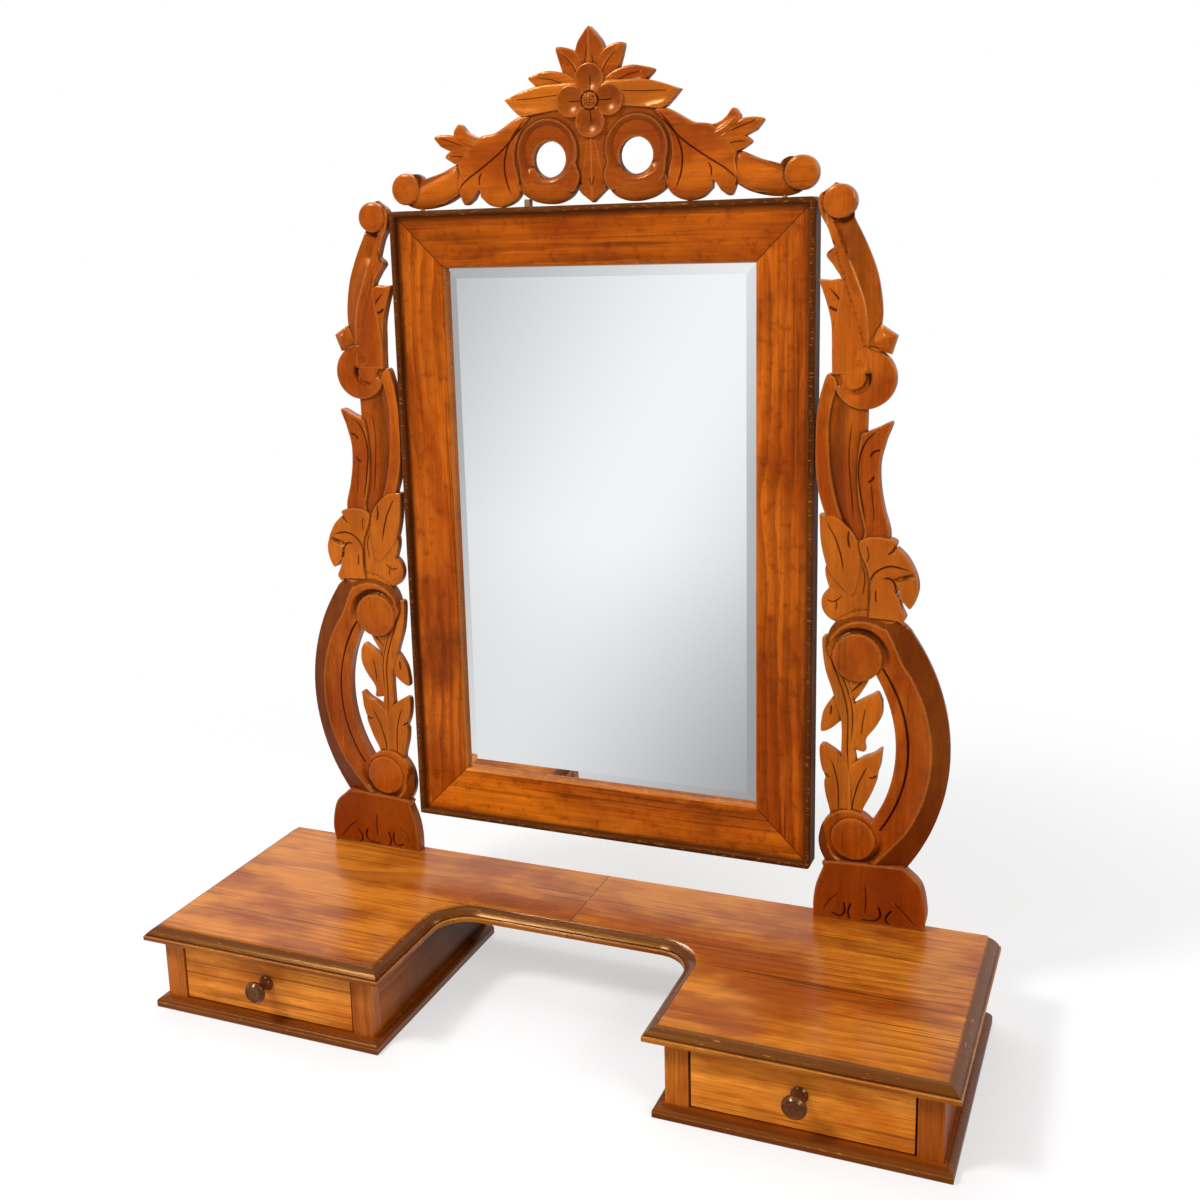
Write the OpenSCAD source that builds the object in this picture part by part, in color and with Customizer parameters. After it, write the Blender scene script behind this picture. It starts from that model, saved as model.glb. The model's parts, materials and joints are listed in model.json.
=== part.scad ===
// Dressing mirror on a low base with two drawer wings, carved supports and a carved crest.
// Millimetres. +Z is up, +X is to the right seen from the front, and the front looks along -Y.
// The origin is on the floor, under the middle of the whole object's width and depth.
// Inside the modules y is counted from the front lip of the top, and at_origin() moves it home.

/* [Top] */
// Width of the top over its lips
top_w = 900; // [860:1:960]
// Depth of the top
top_d = 300; // [285:1:320]
// Height of the top's surface over the floor
base_h = 100; // [95:1:120]
// Thickness of the top
top_t = 16; // [14:0.5:18]
// Width of the recess between the wings, lip to lip
recess_w = 294; // [260:1:320]
// Depth of the recess from the front lip
recess_d = 167; // [140:1:175]
// Radius of the recess's inner corners at the lip
recess_r = 38; // [20:1:60]
// Width of the moulded edge
mould_w = 14; // [11:0.5:16]
// Height of the plain nose under the moulded edge
nose_h = 6; // [4:0.5:7]
// Height of the small step at the top of the moulded edge
step_h = 1.5; // [0.5:0.5:2]
// Thickness of the batten under the joint of the two top boards
batten_t = 12; // [8:1:16]
// Width of that batten
batten_w = 80; // [50:1:120]
// Height of the rail between the wings
rail_h = 50; // [30:1:60]
// Thickness of the rail between the wings
rail_t = 12; // [9:0.5:15]

/* [Wings] */
// How far the top stands out over a wing's front and outer side
overhang = 16.5; // [14:0.5:20]
// How far the top stands out over a wing's inner side
inner_overhang = 18.5; // [16:0.5:22]
// How far the top stands out over a wing's back
back_overhang = 3; // [1:0.5:8]
// Thickness of a wing's sides
side_t = 12; // [9:0.5:15]
// How far the sides lie behind the outer faces of the stiles
side_inset = 0.7; // [0.5:0.1:1.5]
// Thickness of a wing's back
back_t = 8; // [5:0.5:10]
// Width of the front stiles
stile_w = 24; // [20:0.5:30]
// Thickness of the front stiles
stile_t = 18; // [12:0.5:22]
// Thickness of the bottom boards
board_h = 12; // [10:0.5:15]
// How far a bottom board stands out from a wing
board_out = 10.7; // [8:0.1:13]
// Height of a bottom board's upright edge
board_edge = 6; // [4:0.5:8]

/* [Drawers] */
// Gap at each side of a drawer front
front_gap = 2.25; // [1:0.25:3]
// Gap over and under a drawer front
front_rise = 2; // [1:0.25:3]
// How far a drawer front lies behind the stiles
front_inset = 1.5; // [0:0.5:4]
// Thickness of a drawer front
front_t = 14; // [12:0.5:18]
// Thickness of a drawer's sides and back
drawer_side_t = 8; // [7:0.5:10]
// Height of a drawer's sides
drawer_side_h = 58; // [45:1:62]
// Thickness of a drawer's bottom
drawer_bottom_t = 4; // [3:0.5:6]
// Height of the drawer guides
guide_h = 40; // [25:1:50]
// Diameter of a knob
knob_d = 25; // [20:1:32]
// How far a knob stands out from a drawer front
knob_len = 27; // [22:1:32]
// Height of a knob's middle over the lower edge of its drawer front
knob_rise = 37; // [30:1:42]
// Diameter of a knob's tenon
tenon_d = 9; // [7:0.5:11]

/* [Mirror] */
// Width of the glass
glass_w = 378; // [360:1:400]
// Height of the glass
glass_h = 616; // [590:1:640]
// Thickness of the glass
glass_t = 4; // [3:0.5:5]
// Width of the bevel that shows round the glass
bevel_w = 12; // [8:1:20]
// How far the frame laps over the glass
glass_lap = 8; // [6:0.5:11]
// Width of the flat frame members
member_w = 57; // [48:1:64]
// Thickness of the flat frame members
member_t = 17.5; // [15:0.5:22]
// Thickness of the back board
back_board_t = 4; // [3:0.5:5]
// Width of the edge strip round the frame
edge_w = 7; // [6:0.5:10]
// How far the edge strip stands out in front of the flat members
edge_out = 7.5; // [5:0.5:11]
// Radius of the frame's outer corners
corner_r = 6; // [3:0.5:6]
// Gap between the frame and the top
frame_gap = 52; // [40:1:70]
// How far the frame's back lies behind the supports' backs
frame_set = 10; // [8:0.5:12]
// Gap between the frame and each support
side_gap = 1.5; // [1:0.25:4]

/* [Pivots] */
// Height of the pivots over the top
pivot_rise = 520; // [512:1:545]
// Diameter of a pivot pin
pin_d = 4; // [3:0.5:5]
// Length of a pin in the frame
pin_hold = 22; // [14:1:26]
// Length of a pin in a support
pin_reach = 13; // [8:1:18]
// Diameter of a washer
washer_d = 8; // [7:0.5:10]
// Running clearance round a pin
pin_play = 0.05; // [0.02:0.01:0.08]

/* [Supports] */
// Height of a support
support_h = 793; // [775:1:812]
// Thickness of a support
support_t = 16; // [14:0.5:19]
// How far a support's back lies in front of the top's back edge
support_set = 0; // [0:0.5:4]
// Diameter of the screws that hold the supports
screw_d = 4.5; // [3.5:0.5:5]
// Diameter of a screw's head
screw_head_d = 8.5; // [7:0.5:9]
// Height of a screw's head
screw_head_h = 2.5; // [1.5:0.5:3]
// Depth of a screw in a support
screw_hold = 28; // [20:1:34]

/* [Crest] */
// How far the crest's ends stop short of the frame's sides
crest_inset = 0.5; // [0.5:0.5:6]
// Thickness of the crest
crest_t = 16; // [14:0.5:18]
// How far the crest's back lies in front of the frame's back
crest_set = 2; // [0:0.5:4]
// Diameter of the crest's dowels
dowel_d = 5; // [4:0.5:6]
// Depth of a dowel in the frame
dowel_hold = 14; // [10:1:20]
// Depth of a dowel in the crest
dowel_up = 12; // [8:1:14]

/* [Hidden] */
$fn = 64;

// Small lengths
over = 1;
proud = 0.5;
fit = 0.05;
run = 0.3;
nose_r = 1.2;
quirk_in = 2.3;
quirk_h = 1.2;

// Base
under_z = base_h - top_t;
wing_in = recess_w / 2 + inner_overhang;
wing_out = top_w / 2 - overhang;
wing_mid = (wing_in + wing_out) / 2;
wing_back = top_d - back_overhang;
outer_face = wing_out - side_inset;
inner_face = wing_in + side_inset;
stile_back = overhang + stile_t;
rail_y = wing_back - rail_t - 2;
batten_y = recess_d + 28;

// Drawers
drawer_in = wing_in + stile_w + front_gap;
drawer_out = wing_out - stile_w - front_gap;
drawer_y = overhang + front_inset;
drawer_end = wing_back - back_t - run;
drawer_low = board_h + run;
front_low = board_h + front_rise;
front_high = under_z - front_rise;
guide_play = 0.5;
groove_d = 4;
lap_d = 8;
side_start = drawer_y + front_t - lap_d;
bottom_low = drawer_low + 5;
tenon_len = 10;
knob_z = front_low + knob_rise;
knob_tip = drawer_y - knob_len;

// Mirror
sight_w = glass_w - 2 * glass_lap;
sight_h = glass_h - 2 * glass_lap;
flat_w = sight_w + 2 * member_w;
flat_h = sight_h + 2 * member_w;
frame_w = flat_w + 2 * edge_w;
frame_h = flat_h + 2 * edge_w;
edge_deep = member_t + edge_out;
support_back = top_d - support_set;
frame_back = support_back + frame_set;
flat_front = frame_back - member_t;
frame_top = base_h + frame_gap + frame_h;
frame_mid = base_h + frame_gap + frame_h / 2;
glass_play = 0.5;
rebate_w = glass_lap + glass_play;
bevel_drop = 1.6;
lip_drop = bevel_drop * bevel_w / (bevel_w + glass_lap);
board_set = 2;
board_back = frame_back - board_set;
glass_back = board_back - back_board_t;
rebate_t = board_set + back_board_t + glass_t - lip_drop;
sight_bevel = 2.5;
nail_d = 1.2;
nail_len = 14;

// Pivots and supports. The carving is drawn 793 high and cut to the support's height.
support_x = frame_w / 2 + side_gap;
pivot_z = base_h + pivot_rise;
pivot_y = (flat_front + support_back) / 2;
carve = support_h / 793;
screw_y = support_back - support_t / 2;

// Crest. The carving is drawn 489 wide and cut to the frame's width.
shrink = (frame_w - 2 * crest_inset) / 489;
crest_back = frame_back - crest_set;
dowel_y = crest_back - 5.5;

// The origin halves the depth from the knobs to the frame's back
lip_y = -(knob_tip + frame_back) / 2;

WOOD = [0.66, 0.33, 0.11];
DARK = [0.36, 0.16, 0.07];
PALE = [0.78, 0.55, 0.32];
STEEL = [0.62, 0.62, 0.64];
LEATHER = [0.42, 0.27, 0.16];
SILVER = [0.80, 0.83, 0.85];

// ---------------------------------------------------------------- outlines

// Points along an arc or spiral round c, without its last point
function sweep(c, r0, r1, a0, a1, n = 12) =
  [for (i = [0 : n - 1])
    let (t = i / n, a = a0 + (a1 - a0) * t, r = r0 + (r1 - r0) * t)
      [c.x + r * cos(a), c.y + r * sin(a)]];

// Points from p towards q along an arc that bulges by rise to the right of the way
function bow(p, q, rise, n = 6) =
  rise == 0 ? [p] :
  let (
    way = q - p,
    half = norm(way) / 2,
    r = (half * half + rise * rise) / (2 * rise),
    side = [way.y, -way.x] / norm(way),
    c = (p + q) / 2 + side * (rise - r),
    a0 = atan2(p.y - c.y, p.x - c.x),
    turn = 2 * asin(half / r)
  )
  [for (i = [0 : n - 1])
    let (a = a0 + turn * i / n)
      c + abs(r) * [cos(a), sin(a)]];

// The points of an outline from corners [x, y, bulge of the edge to the next corner],
// up to the last corner
function outline_open(corners) = concat(
  [for (i = [0 : len(corners) - 2])
    let (p = corners[i], q = corners[i + 1])
      each bow([p.x, p.y], [q.x, q.y], p.z)],
  [[corners[len(corners) - 1].x, corners[len(corners) - 1].y]]
);

// The same as a closed loop
function outline(corners) =
  [for (i = [0 : len(corners) - 1])
    let (p = corners[i], q = corners[(i + 1) % len(corners)])
      each bow([p.x, p.y], [q.x, q.y], p.z)];

// An outline that starts and ends on the line x = 0, and its mirror image, as one loop
function both_halves(half) =
  concat(half, [for (i = [len(half) - 2 : -1 : 1]) [-half[i].x, half[i].y]]);

// ---------------------------------------------------------------- general forms

module at_origin() translate([0, lip_y, 0]) children();

module slab(x0, x1, y0, y1, z0, z1)
  translate([x0, y0, z0]) cube([x1 - x0, y1 - y0, z1 - z0]);

// Children drawn for the right hand side, or mirrored for the left
module on_side(left) {
  if (left) mirror([1, 0, 0]) children();
  else children();
}

// A section [inwards, up] drawn along an edge that starts at the origin and runs along +X
module along(span)
  rotate([90, 0, 90]) linear_extrude(span) children();

// A round rod from a point on the right hand side outwards, and its twin on the left
module both_sides(x, y, z)
  for (left = [true, false]) on_side(left)
    translate([x, y, z]) rotate([0, 90, 0]) children();

// ---------------------------------------------------------------- top

// What the moulding plane takes off an edge: nose, quirk, convex slope and step
function top_cut() = concat(
  [[-over - proud, -over], [nose_r, -over]],
  sweep([nose_r, nose_r], nose_r, nose_r, 270, 180, 4),
  sweep([nose_r, nose_h - nose_r], nose_r, nose_r, 180, 90, 4),
  [[nose_r, nose_h], [quirk_in, nose_h]],
  bow([quirk_in, nose_h + quirk_h], [mould_w, top_t - step_h], -1.2, 6),
  [[mould_w, top_t - step_h], [mould_w, top_t + over], [-over - proud, top_t + over]]
);

// The blank, left a little proud where the moulding is cut
module top_blank() {
  open_x = recess_w / 2 - proud;
  open_y = recess_d - proud;
  difference() {
    translate([0, -proud]) square([top_w / 2 + proud, top_d + proud]);
    translate([-over, -2 * over]) square([over + open_x, 2 * over + recess_d - recess_r]);
    translate([-over, -2 * over]) square([over + recess_w / 2 - recess_r, 2 * over + open_y]);
    translate([recess_w / 2 - recess_r, recess_d - recess_r]) circle(recess_r - proud);
  }
}

module top_half() {
  turn_x = recess_w / 2 - recess_r;
  turn_y = recess_d - recess_r;
  translate([0, 0, under_z]) difference() {
    linear_extrude(top_t) top_blank();
    // front, outer side, recess side, recess back and the turn between the last two
    translate([recess_w / 2 - 2 * over, 0, 0]) along(top_w / 2) polygon(top_cut());
    translate([top_w / 2, -2 * over, 0]) rotate([0, 0, 90])
      along(top_d + 4 * over) polygon(top_cut());
    translate([recess_w / 2, turn_y, 0]) rotate([0, 0, -90])
      along(turn_y + 2 * over) polygon(top_cut());
    translate([-over, recess_d, 0]) along(turn_x + over) polygon(top_cut());
    translate([turn_x, turn_y, 0]) rotate_extrude(angle = 90)
      translate([recess_r, 0]) polygon(top_cut());
    for (x = screw_places()) translate([x, screw_y, -over]) {
      cylinder(d = screw_d + 2 * fit, h = top_t + 2 * over);
      cylinder(d = screw_head_d + 2 * fit, h = screw_head_h + over);
    }
  }
}

module top_board(left) color(WOOD) at_origin() on_side(left) top_half();

module seam_batten()
  color(PALE) at_origin()
    slab(-batten_w / 2, batten_w / 2, batten_y, rail_y, under_z - batten_t, under_z);

module back_rail()
  color(PALE) at_origin()
    slab(-inner_face, inner_face, rail_y, rail_y + rail_t, under_z - rail_h, under_z);

// ---------------------------------------------------------------- wings

// What is cut off a bottom board's edge: an ovolo and a small fillet over its upright edge
function board_cut() =
  let (w = board_out - 3, h = board_h - 1 - board_edge)
    concat(
      [[-over, board_edge]],
      [for (i = [0 : 8]) [w * (1 - cos(90 * i / 8)), board_edge + h * sin(90 * i / 8)]],
      [[w, board_h + over], [-over, board_h + over]]
    );

module bottom_board(left) {
  x0 = wing_in - board_out;
  x1 = wing_out + board_out;
  y0 = overhang - board_out;
  color(WOOD) at_origin() on_side(left) difference() {
    slab(x0, x1, y0, wing_back, 0, board_h);
    translate([x0 - over, y0, 0]) along(x1 - x0 + 2 * over) polygon(board_cut());
    translate([x1, y0 - over, 0]) rotate([0, 0, 90])
      along(wing_back - y0 + 2 * over) polygon(board_cut());
    translate([x0, wing_back + over, 0]) rotate([0, 0, -90])
      along(wing_back - y0 + 2 * over) polygon(board_cut());
  }
}

// An upright board of a wing, from the bottom board to the top
module upright(left, x0, x1, y0, y1)
  at_origin() on_side(left) slab(x0, x1, y0, y1, board_h, under_z);

module outer_side(left)
  color(WOOD) upright(left, outer_face - side_t, outer_face, stile_back, wing_back);

module inner_side(left)
  color(WOOD) upright(left, inner_face, inner_face + side_t, stile_back, wing_back);

module back_panel(left)
  color(PALE) upright(left, inner_face + side_t, outer_face - side_t,
                      wing_back - back_t, wing_back);

module outer_stile(left)
  color(WOOD) upright(left, wing_out - stile_w, wing_out, overhang, stile_back);

module inner_stile(left)
  color(WOOD) upright(left, wing_in, wing_in + stile_w, overhang, stile_back);

module drawer_guides(left)
  color(PALE) at_origin() on_side(left) {
    slab(inner_face + side_t, drawer_in - guide_play, stile_back, wing_back - back_t,
         board_h, board_h + guide_h);
    slab(drawer_out + guide_play, outer_face - side_t, stile_back, wing_back - back_t,
         board_h, board_h + guide_h);
  }

// ---------------------------------------------------------------- drawers

// Room for the drawer bottom, with a little air over it
module bottom_slot(x0, x1, y0, y1)
  slab(x0, x1, y0, y1, bottom_low, bottom_low + drawer_bottom_t + 0.2);

module drawer_front(left)
  color(WOOD) at_origin() on_side(left) difference() {
    slab(drawer_in, drawer_out, drawer_y, drawer_y + front_t, front_low, front_high);
    for (x = [drawer_in - over, drawer_out - drawer_side_t])
      slab(x, x + drawer_side_t + over, side_start, drawer_y + front_t + over,
           front_low - over, drawer_low + drawer_side_h);
    bottom_slot(drawer_in + over, drawer_out - over, drawer_y + front_t - groove_d,
                drawer_y + front_t + over);
    translate([wing_mid, drawer_y - over, knob_z]) rotate([-90, 0, 0])
      cylinder(d = tenon_d + 2 * fit, h = tenon_len + over + run);
  }

// A side from x0 outwards, with its groove from slot_x
module drawer_side(left, x0, slot_x)
  color(PALE) at_origin() on_side(left) difference() {
    slab(x0, x0 + drawer_side_t, side_start, drawer_end, drawer_low, drawer_low + drawer_side_h);
    bottom_slot(slot_x, slot_x + groove_d + over, side_start - over, drawer_end + over);
  }

module drawer_outer_side(left)
  drawer_side(left, drawer_out - drawer_side_t, drawer_out - drawer_side_t - over);

module drawer_inner_side(left)
  drawer_side(left, drawer_in, drawer_in + drawer_side_t - groove_d);

module drawer_back(left)
  color(PALE) at_origin() on_side(left)
    slab(drawer_in + drawer_side_t, drawer_out - drawer_side_t,
         drawer_end - drawer_side_t, drawer_end,
         bottom_low + drawer_bottom_t, drawer_low + drawer_side_h);

module drawer_bottom(left) {
  reach = groove_d - run;
  color(PALE) at_origin() on_side(left)
    slab(drawer_in + drawer_side_t - reach, drawer_out - drawer_side_t + reach,
         drawer_y + front_t - reach, drawer_end, bottom_low, bottom_low + drawer_bottom_t);
}

// Turned profile: tenon, collar, waisted neck, rounded head and dished face
function knob_profile() =
  let (r = knob_d / 2, head = knob_len - 9)
    concat(
      [[0, -tenon_len], [tenon_d / 2, -tenon_len], [tenon_d / 2, 0]],
      [[r * 0.66, 0], [r * 0.70, 1.5], [r * 0.58, 3.2]],
      [for (i = [0 : 6]) [r * (0.40 + 0.16 * pow(i / 3 - 1, 2)), 3.6 + (head - 6) * i / 6]],
      [for (i = [0 : 8]) [r * (0.80 + 0.20 * sin(22.5 * i)), head + 8.2 * i / 8]],
      [[r * 0.74, knob_len], [r * 0.64, knob_len - 0.9]],
      [[r * 0.30, knob_len - 1.6], [0, knob_len - 1.2]]
    );

module drawer_knob(left)
  color(DARK) at_origin() on_side(left)
    translate([wing_mid, drawer_y, knob_z]) rotate([90, 0, 0])
      rotate_extrude() polygon(knob_profile());

// ---------------------------------------------------------------- mirror frame

// A flat member along +X, its outer edge on the X axis, its face up, mitred at both ends
module flat_member(span)
  difference() {
    linear_extrude(member_t) polygon([
      [0, 0], [span, 0], [span - member_w, member_w], [member_w, member_w]
    ]);
    translate([-over, member_w - rebate_w, -over])
      cube([span + 2 * over, rebate_w + over, rebate_t + over]);
    // small bevel at the sight edge
    along(span) polygon([
      [member_w - sight_bevel - over, member_t + over],
      [member_w + over, member_t - sight_bevel - over],
      [member_w + over, member_t + over]
    ]);
  }

// Section of the edge strip: out from the flat member, and forward from the back
function edge_section() = concat(
  [[0, 0], [edge_w - 1.5, 0], [edge_w, 1.5]],
  sweep([edge_w / 2, edge_deep - edge_w / 2], edge_w / 2, edge_w / 2, 0, 180, 8),
  [[0, edge_deep - edge_w / 2]]
);

// What is rounded off an outer corner that lies at the origin
module corner_off()
  translate([0, 0, -over]) linear_extrude(edge_deep + 2 * over) difference() {
    translate([-over, -over]) square(corner_r + over);
    translate([corner_r, corner_r]) circle(corner_r);
  }

// An edge strip along +X, its inner side on the X axis, mitred and rounded at both ends
module edge_strip(span)
  difference() {
    intersection() {
      translate([-edge_w, 0, 0]) along(span + 2 * edge_w) mirror([1, 0]) polygon(edge_section());
      translate([0, 0, -over]) linear_extrude(edge_deep + 2 * over) polygon([
        [0, 0], [span, 0], [span + edge_w, -edge_w], [-edge_w, -edge_w]
      ]);
    }
    translate([-edge_w, -edge_w, 0]) corner_off();
    translate([span + edge_w, -edge_w, 0]) mirror([1, 0, 0]) corner_off();
  }

// Puts a strip drawn along +X on one side of the frame: 0 bottom, 1 right, 2 top, 3 left
module on_frame(side) {
  span = side % 2 == 0 ? flat_w : flat_h;
  across = side % 2 == 0 ? flat_h : flat_w;
  at_origin() translate([0, frame_back, frame_mid]) rotate([90, 0, 0])
    rotate([0, 0, 90 * side]) translate([-span / 2, -across / 2, 0]) children();
}

// Bores for the pivot pins, from the frame's sides inwards
module pin_bores()
  at_origin() both_sides(frame_w / 2 - pin_hold, pivot_y, pivot_z)
    cylinder(d = pin_d + 2 * fit, h = pin_hold + over);

// Bores for the crest's dowels, from the frame's upper edge down
module dowel_bores()
  at_origin() for (x = dowel_places()) translate([x, dowel_y, frame_top - dowel_hold])
    cylinder(d = dowel_d + 2 * fit, h = dowel_hold + over);

// Panel pins, half in the rebate's wall and half over the back board
module nails(d) {
  y = board_back + nail_d / 2 + 2 * fit;
  at_origin() {
    for (z = [-0.3, 0, 0.3])
      both_sides(glass_w / 2 + glass_play - nail_len / 2, y, frame_mid + z * glass_h)
        cylinder(d = d, h = nail_len);
    for (x = [-0.25, 0.25], end = [-1, 1])
      translate([x * glass_w, y, frame_mid + end * (glass_h / 2 + glass_play) - nail_len / 2])
        cylinder(d = d, h = nail_len);
  }
}

module frame_bottom_rail() color(WOOD) difference() {
  on_frame(0) flat_member(flat_w);
  nails(nail_d + 2 * fit);
}

module frame_top_rail() color(WOOD) difference() {
  on_frame(2) flat_member(flat_w);
  nails(nail_d + 2 * fit);
  dowel_bores();
}

module frame_stile(side) color(WOOD) difference() {
  on_frame(side) flat_member(flat_h);
  nails(nail_d + 2 * fit);
  pin_bores();
}

module edge_bottom() color(DARK) on_frame(0) edge_strip(flat_w);

module edge_top() color(DARK) difference() {
  on_frame(2) edge_strip(flat_w);
  dowel_bores();
}

module edge_side(side) color(DARK) difference() {
  on_frame(side) edge_strip(flat_h);
  pin_bores();
}

// The plate, with its bevel ground from the edge inwards
module mirror_glass()
  color(SILVER) at_origin() translate([0, glass_back, frame_mid]) rotate([90, 0, 0])
    difference() {
      translate([-glass_w / 2, -glass_h / 2, 0]) cube([glass_w, glass_h, glass_t]);
      for (side = [0 : 3]) {
        span = side % 2 == 0 ? glass_w : glass_h;
        across = side % 2 == 0 ? glass_h : glass_w;
        wide = bevel_w + glass_lap;
        rotate([0, 0, 90 * side]) translate([-span / 2 - over, -across / 2, glass_t])
          along(span + 2 * over) polygon([
            [-over, over], [-over, -bevel_drop * (1 + over / wide)], [wide, 0], [wide, over]
          ]);
      }
    }

module back_board()
  color(PALE) at_origin() slab(-glass_w / 2, glass_w / 2, glass_back, board_back,
                               frame_mid - glass_h / 2, frame_mid + glass_h / 2);

module back_board_pins() color(STEEL) nails(nail_d);

// ---------------------------------------------------------------- pivots

module pivot_pins()
  color(STEEL) at_origin() both_sides(frame_w / 2 - pin_hold, pivot_y, pivot_z)
    cylinder(d = pin_d, h = pin_hold + side_gap + pin_reach);

module pivot_washers()
  color(LEATHER) at_origin() both_sides(frame_w / 2, pivot_y, pivot_z) difference() {
    cylinder(d = washer_d, h = side_gap - run);
    translate([0, 0, -over]) cylinder(d = pin_d + 2 * fit, h = side_gap + 2 * over);
  }

// ---------------------------------------------------------------- carving

// A flat part of the carving: an outline standing up from the back of the stock
module relief(points, high)
  linear_extrude(high) polygon(points);

// A turned disc with a rounded rim
module button(c, r, high, round)
  translate([c.x, c.y, 0]) rotate_extrude() polygon(concat(
    [[0, 0], [r, 0]],
    [for (i = [0 : 5]) [r - round * (1 - cos(18 * i)), high - round * (1 - sin(18 * i))]],
    [[0, high]]
  ));

// A crescent groove beside a disc of radius r, widest in the direction aim
module crescent(c, r, wide, aim, face, deep)
  translate([0, 0, face - deep]) linear_extrude(deep + over) difference() {
    translate([c.x, c.y] + wide * 0.6 * [cos(aim), sin(aim)]) circle(r + wide * 0.4);
    translate([c.x, c.y]) circle(r);
  }

// A hollow of radius r and depth deep, cut into a face
module dish(c, r, face, deep) {
  ball = (r * r + deep * deep) / (2 * deep);
  translate([c.x, c.y, face + ball - deep]) sphere(ball, $fn = 96);
}

// ---------------------------------------------------------------- supports

// Drawn flat: x runs out from the frame's side and y up from the top. Corners are
// [x, y, bulge of the edge to the next corner].
FOOT = [[3, 0, 0], [123.5, 0, 10], [104.5, 68, 0], [14.5, 62, 1.5], [3, 15, 0]];
TWIN_LEAVES = [
  [15.5, 115, 0], [49.5, 115, 2], [59.5, 167, 2], [69.5, 201, 3], [34.5, 164, 3],
  [5.5, 198, 3], [13.5, 166, 0]
];
VINE = [
  [36.5, 150, 0], [46, 150, 0], [54.5, 202, 11.5], [68.5, 264, 0], [51.5, 252, 0],
  [59.5, 260, 2], [53.5, 282, 0], [36.5, 284, -3], [14.5, 321, 0], [8, 320, 3.6],
  [21.5, 256, 6.5], [8, 213, 0], [29.5, 219, 0]
];
HOOK_LEAVES = [
  [22, 345, 0], [88.5, 343, 0], [93.5, 352, -4.3], [84.5, 377, 0], [100.5, 360, 0],
  [104.5, 365, 12], [83.5, 429, 0], [78.5, 419, 0], [75.5, 428, 3], [49.5, 428, 0],
  [44.5, 420, 5.5], [11.5, 456, 0], [3.5, 455, 4.2], [15.5, 385, 0]
];
LOWER_STEM = [
  [30, 410, 0], [82, 410, 0], [79.5, 432, -13], [77.5, 554, 0], [53.5, 545, 0],
  [52.5, 600, 0], [11.5, 602, 2.5], [0, 556, 0], [0, 504, 2.8], [13.5, 453, 0]
];
UPPER_STEM = [
  [11.5, 605, 0], [64, 610, 0], [62.5, 650, 12], [33.5, 762, 2], [39.5, 777, 15],
  [1, 779, 7], [15.5, 728, 0], [7.5, 722, 0], [24.5, 697, 0], [0.5, 697, -9]
];
NAIL = [67, 637];
nail_w = 21;
nail_turn = -27;
BUD = [27.5, 359];
bud_r = 20;
LOW_EYE = [45.5, 96];
low_r = 24;
HIGH_EYE = [47, 302];
high_r = 26;
MID_EYE = [49.5, 598];
mid_r = 32;
MID_BOSS = [39.5, 599];
boss_r = 13;
TOP_EYE = [22, 774.5];
top_r = 16.5;

// The C scroll, one loop: outer arc, upper volute, inner arc, lower volute
OUTER_C = [-84, 200];
outer_r = 229;
INNER_C = [-70.5, 203];
inner_r = 160;
function c_scroll() = concat(
  sweep(OUTER_C, outer_r, outer_r, -34.7, 34.5, 18),
  sweep(HIGH_EYE, 64.9, 42, 25.6, 134.5, 10),
  sweep(HIGH_EYE, 42, 22, 134.5, 200, 7),
  sweep(HIGH_EYE, 22, 22, 200, 300, 4),
  sweep(INNER_C, inner_r, inner_r, 30.8, -32.1, 14),
  sweep(LOW_EYE, 29.2, 38, 52, 180, 10),
  sweep(LOW_EYE, 38, 50.4, 180, 277, 8),
  sweep(LOW_EYE, 50.4, 63.6, 277, 336, 6)
);

// The line between its outer bevel and its cove
BEVEL_C = [-44.4, 199];
bevel_r = 171;
COVE_C = [-54, 199];
cove_r = 166;
cove_w = 24;
cove_deep = 4;

// How far each part of the carving lies under the face of the stock
scroll_sunk = 3;
vine_sunk = 7;
twin_sunk = 5;
hook_sunk = 2.5;
bud_sunk = 4;
stem_sunk = 5;
volute_sunk = 4;

// Bevel that falls from a ridge line to the outer arc of the C
module outer_bevel(face) {
  r = carve * bevel_r;
  translate(carve * [BEVEL_C.x, BEVEL_C.y, 0]) rotate([0, 0, -80])
    rotate_extrude(angle = 160) polygon([
      [r, face + over], [r, face], [r + 30, face - 9], [r + 30, face + over]
    ]);
}

// Cove between that line and the inner arc
module cove(face) {
  r = (cove_w * cove_w / 4 + cove_deep * cove_deep) / (2 * cove_deep);
  translate(carve * [COVE_C.x, COVE_C.y, 0]) rotate([0, 0, -27])
    rotate_extrude(angle = 56) translate([carve * cove_r, face + r - cove_deep]) circle(r);
}

module foot()
  difference() {
    relief(carve * outline(FOOT), support_t);
    // cuts between the toes
    for (x = [37.5, 78.5]) translate([0, 0, support_t - 4]) linear_extrude(4 + over)
      polygon(carve * outline([[x - 4, -over, 0], [x + 4, -over, -0.8], [x, 18, -0.8]]));
  }

module scroll() {
  face = support_t - scroll_sunk;
  difference() {
    relief(carve * c_scroll(), face);
    outer_bevel(face);
    cove(face);
    crescent(carve * HIGH_EYE, carve * high_r, 8, 60, face, 5);
    crescent(carve * LOW_EYE, carve * low_r, 8, 290, face, 5);
  }
}

module stems() {
  face = support_t - stem_sunk;
  relief(carve * outline(LOWER_STEM), face);
  relief(carve * outline(UPPER_STEM), face);
  difference() {
    button(carve * MID_EYE, carve * mid_r, support_t - volute_sunk, 2);
    crescent(carve * MID_BOSS, carve * boss_r, 6, 0, support_t - volute_sunk, 5);
  }
}

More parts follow.
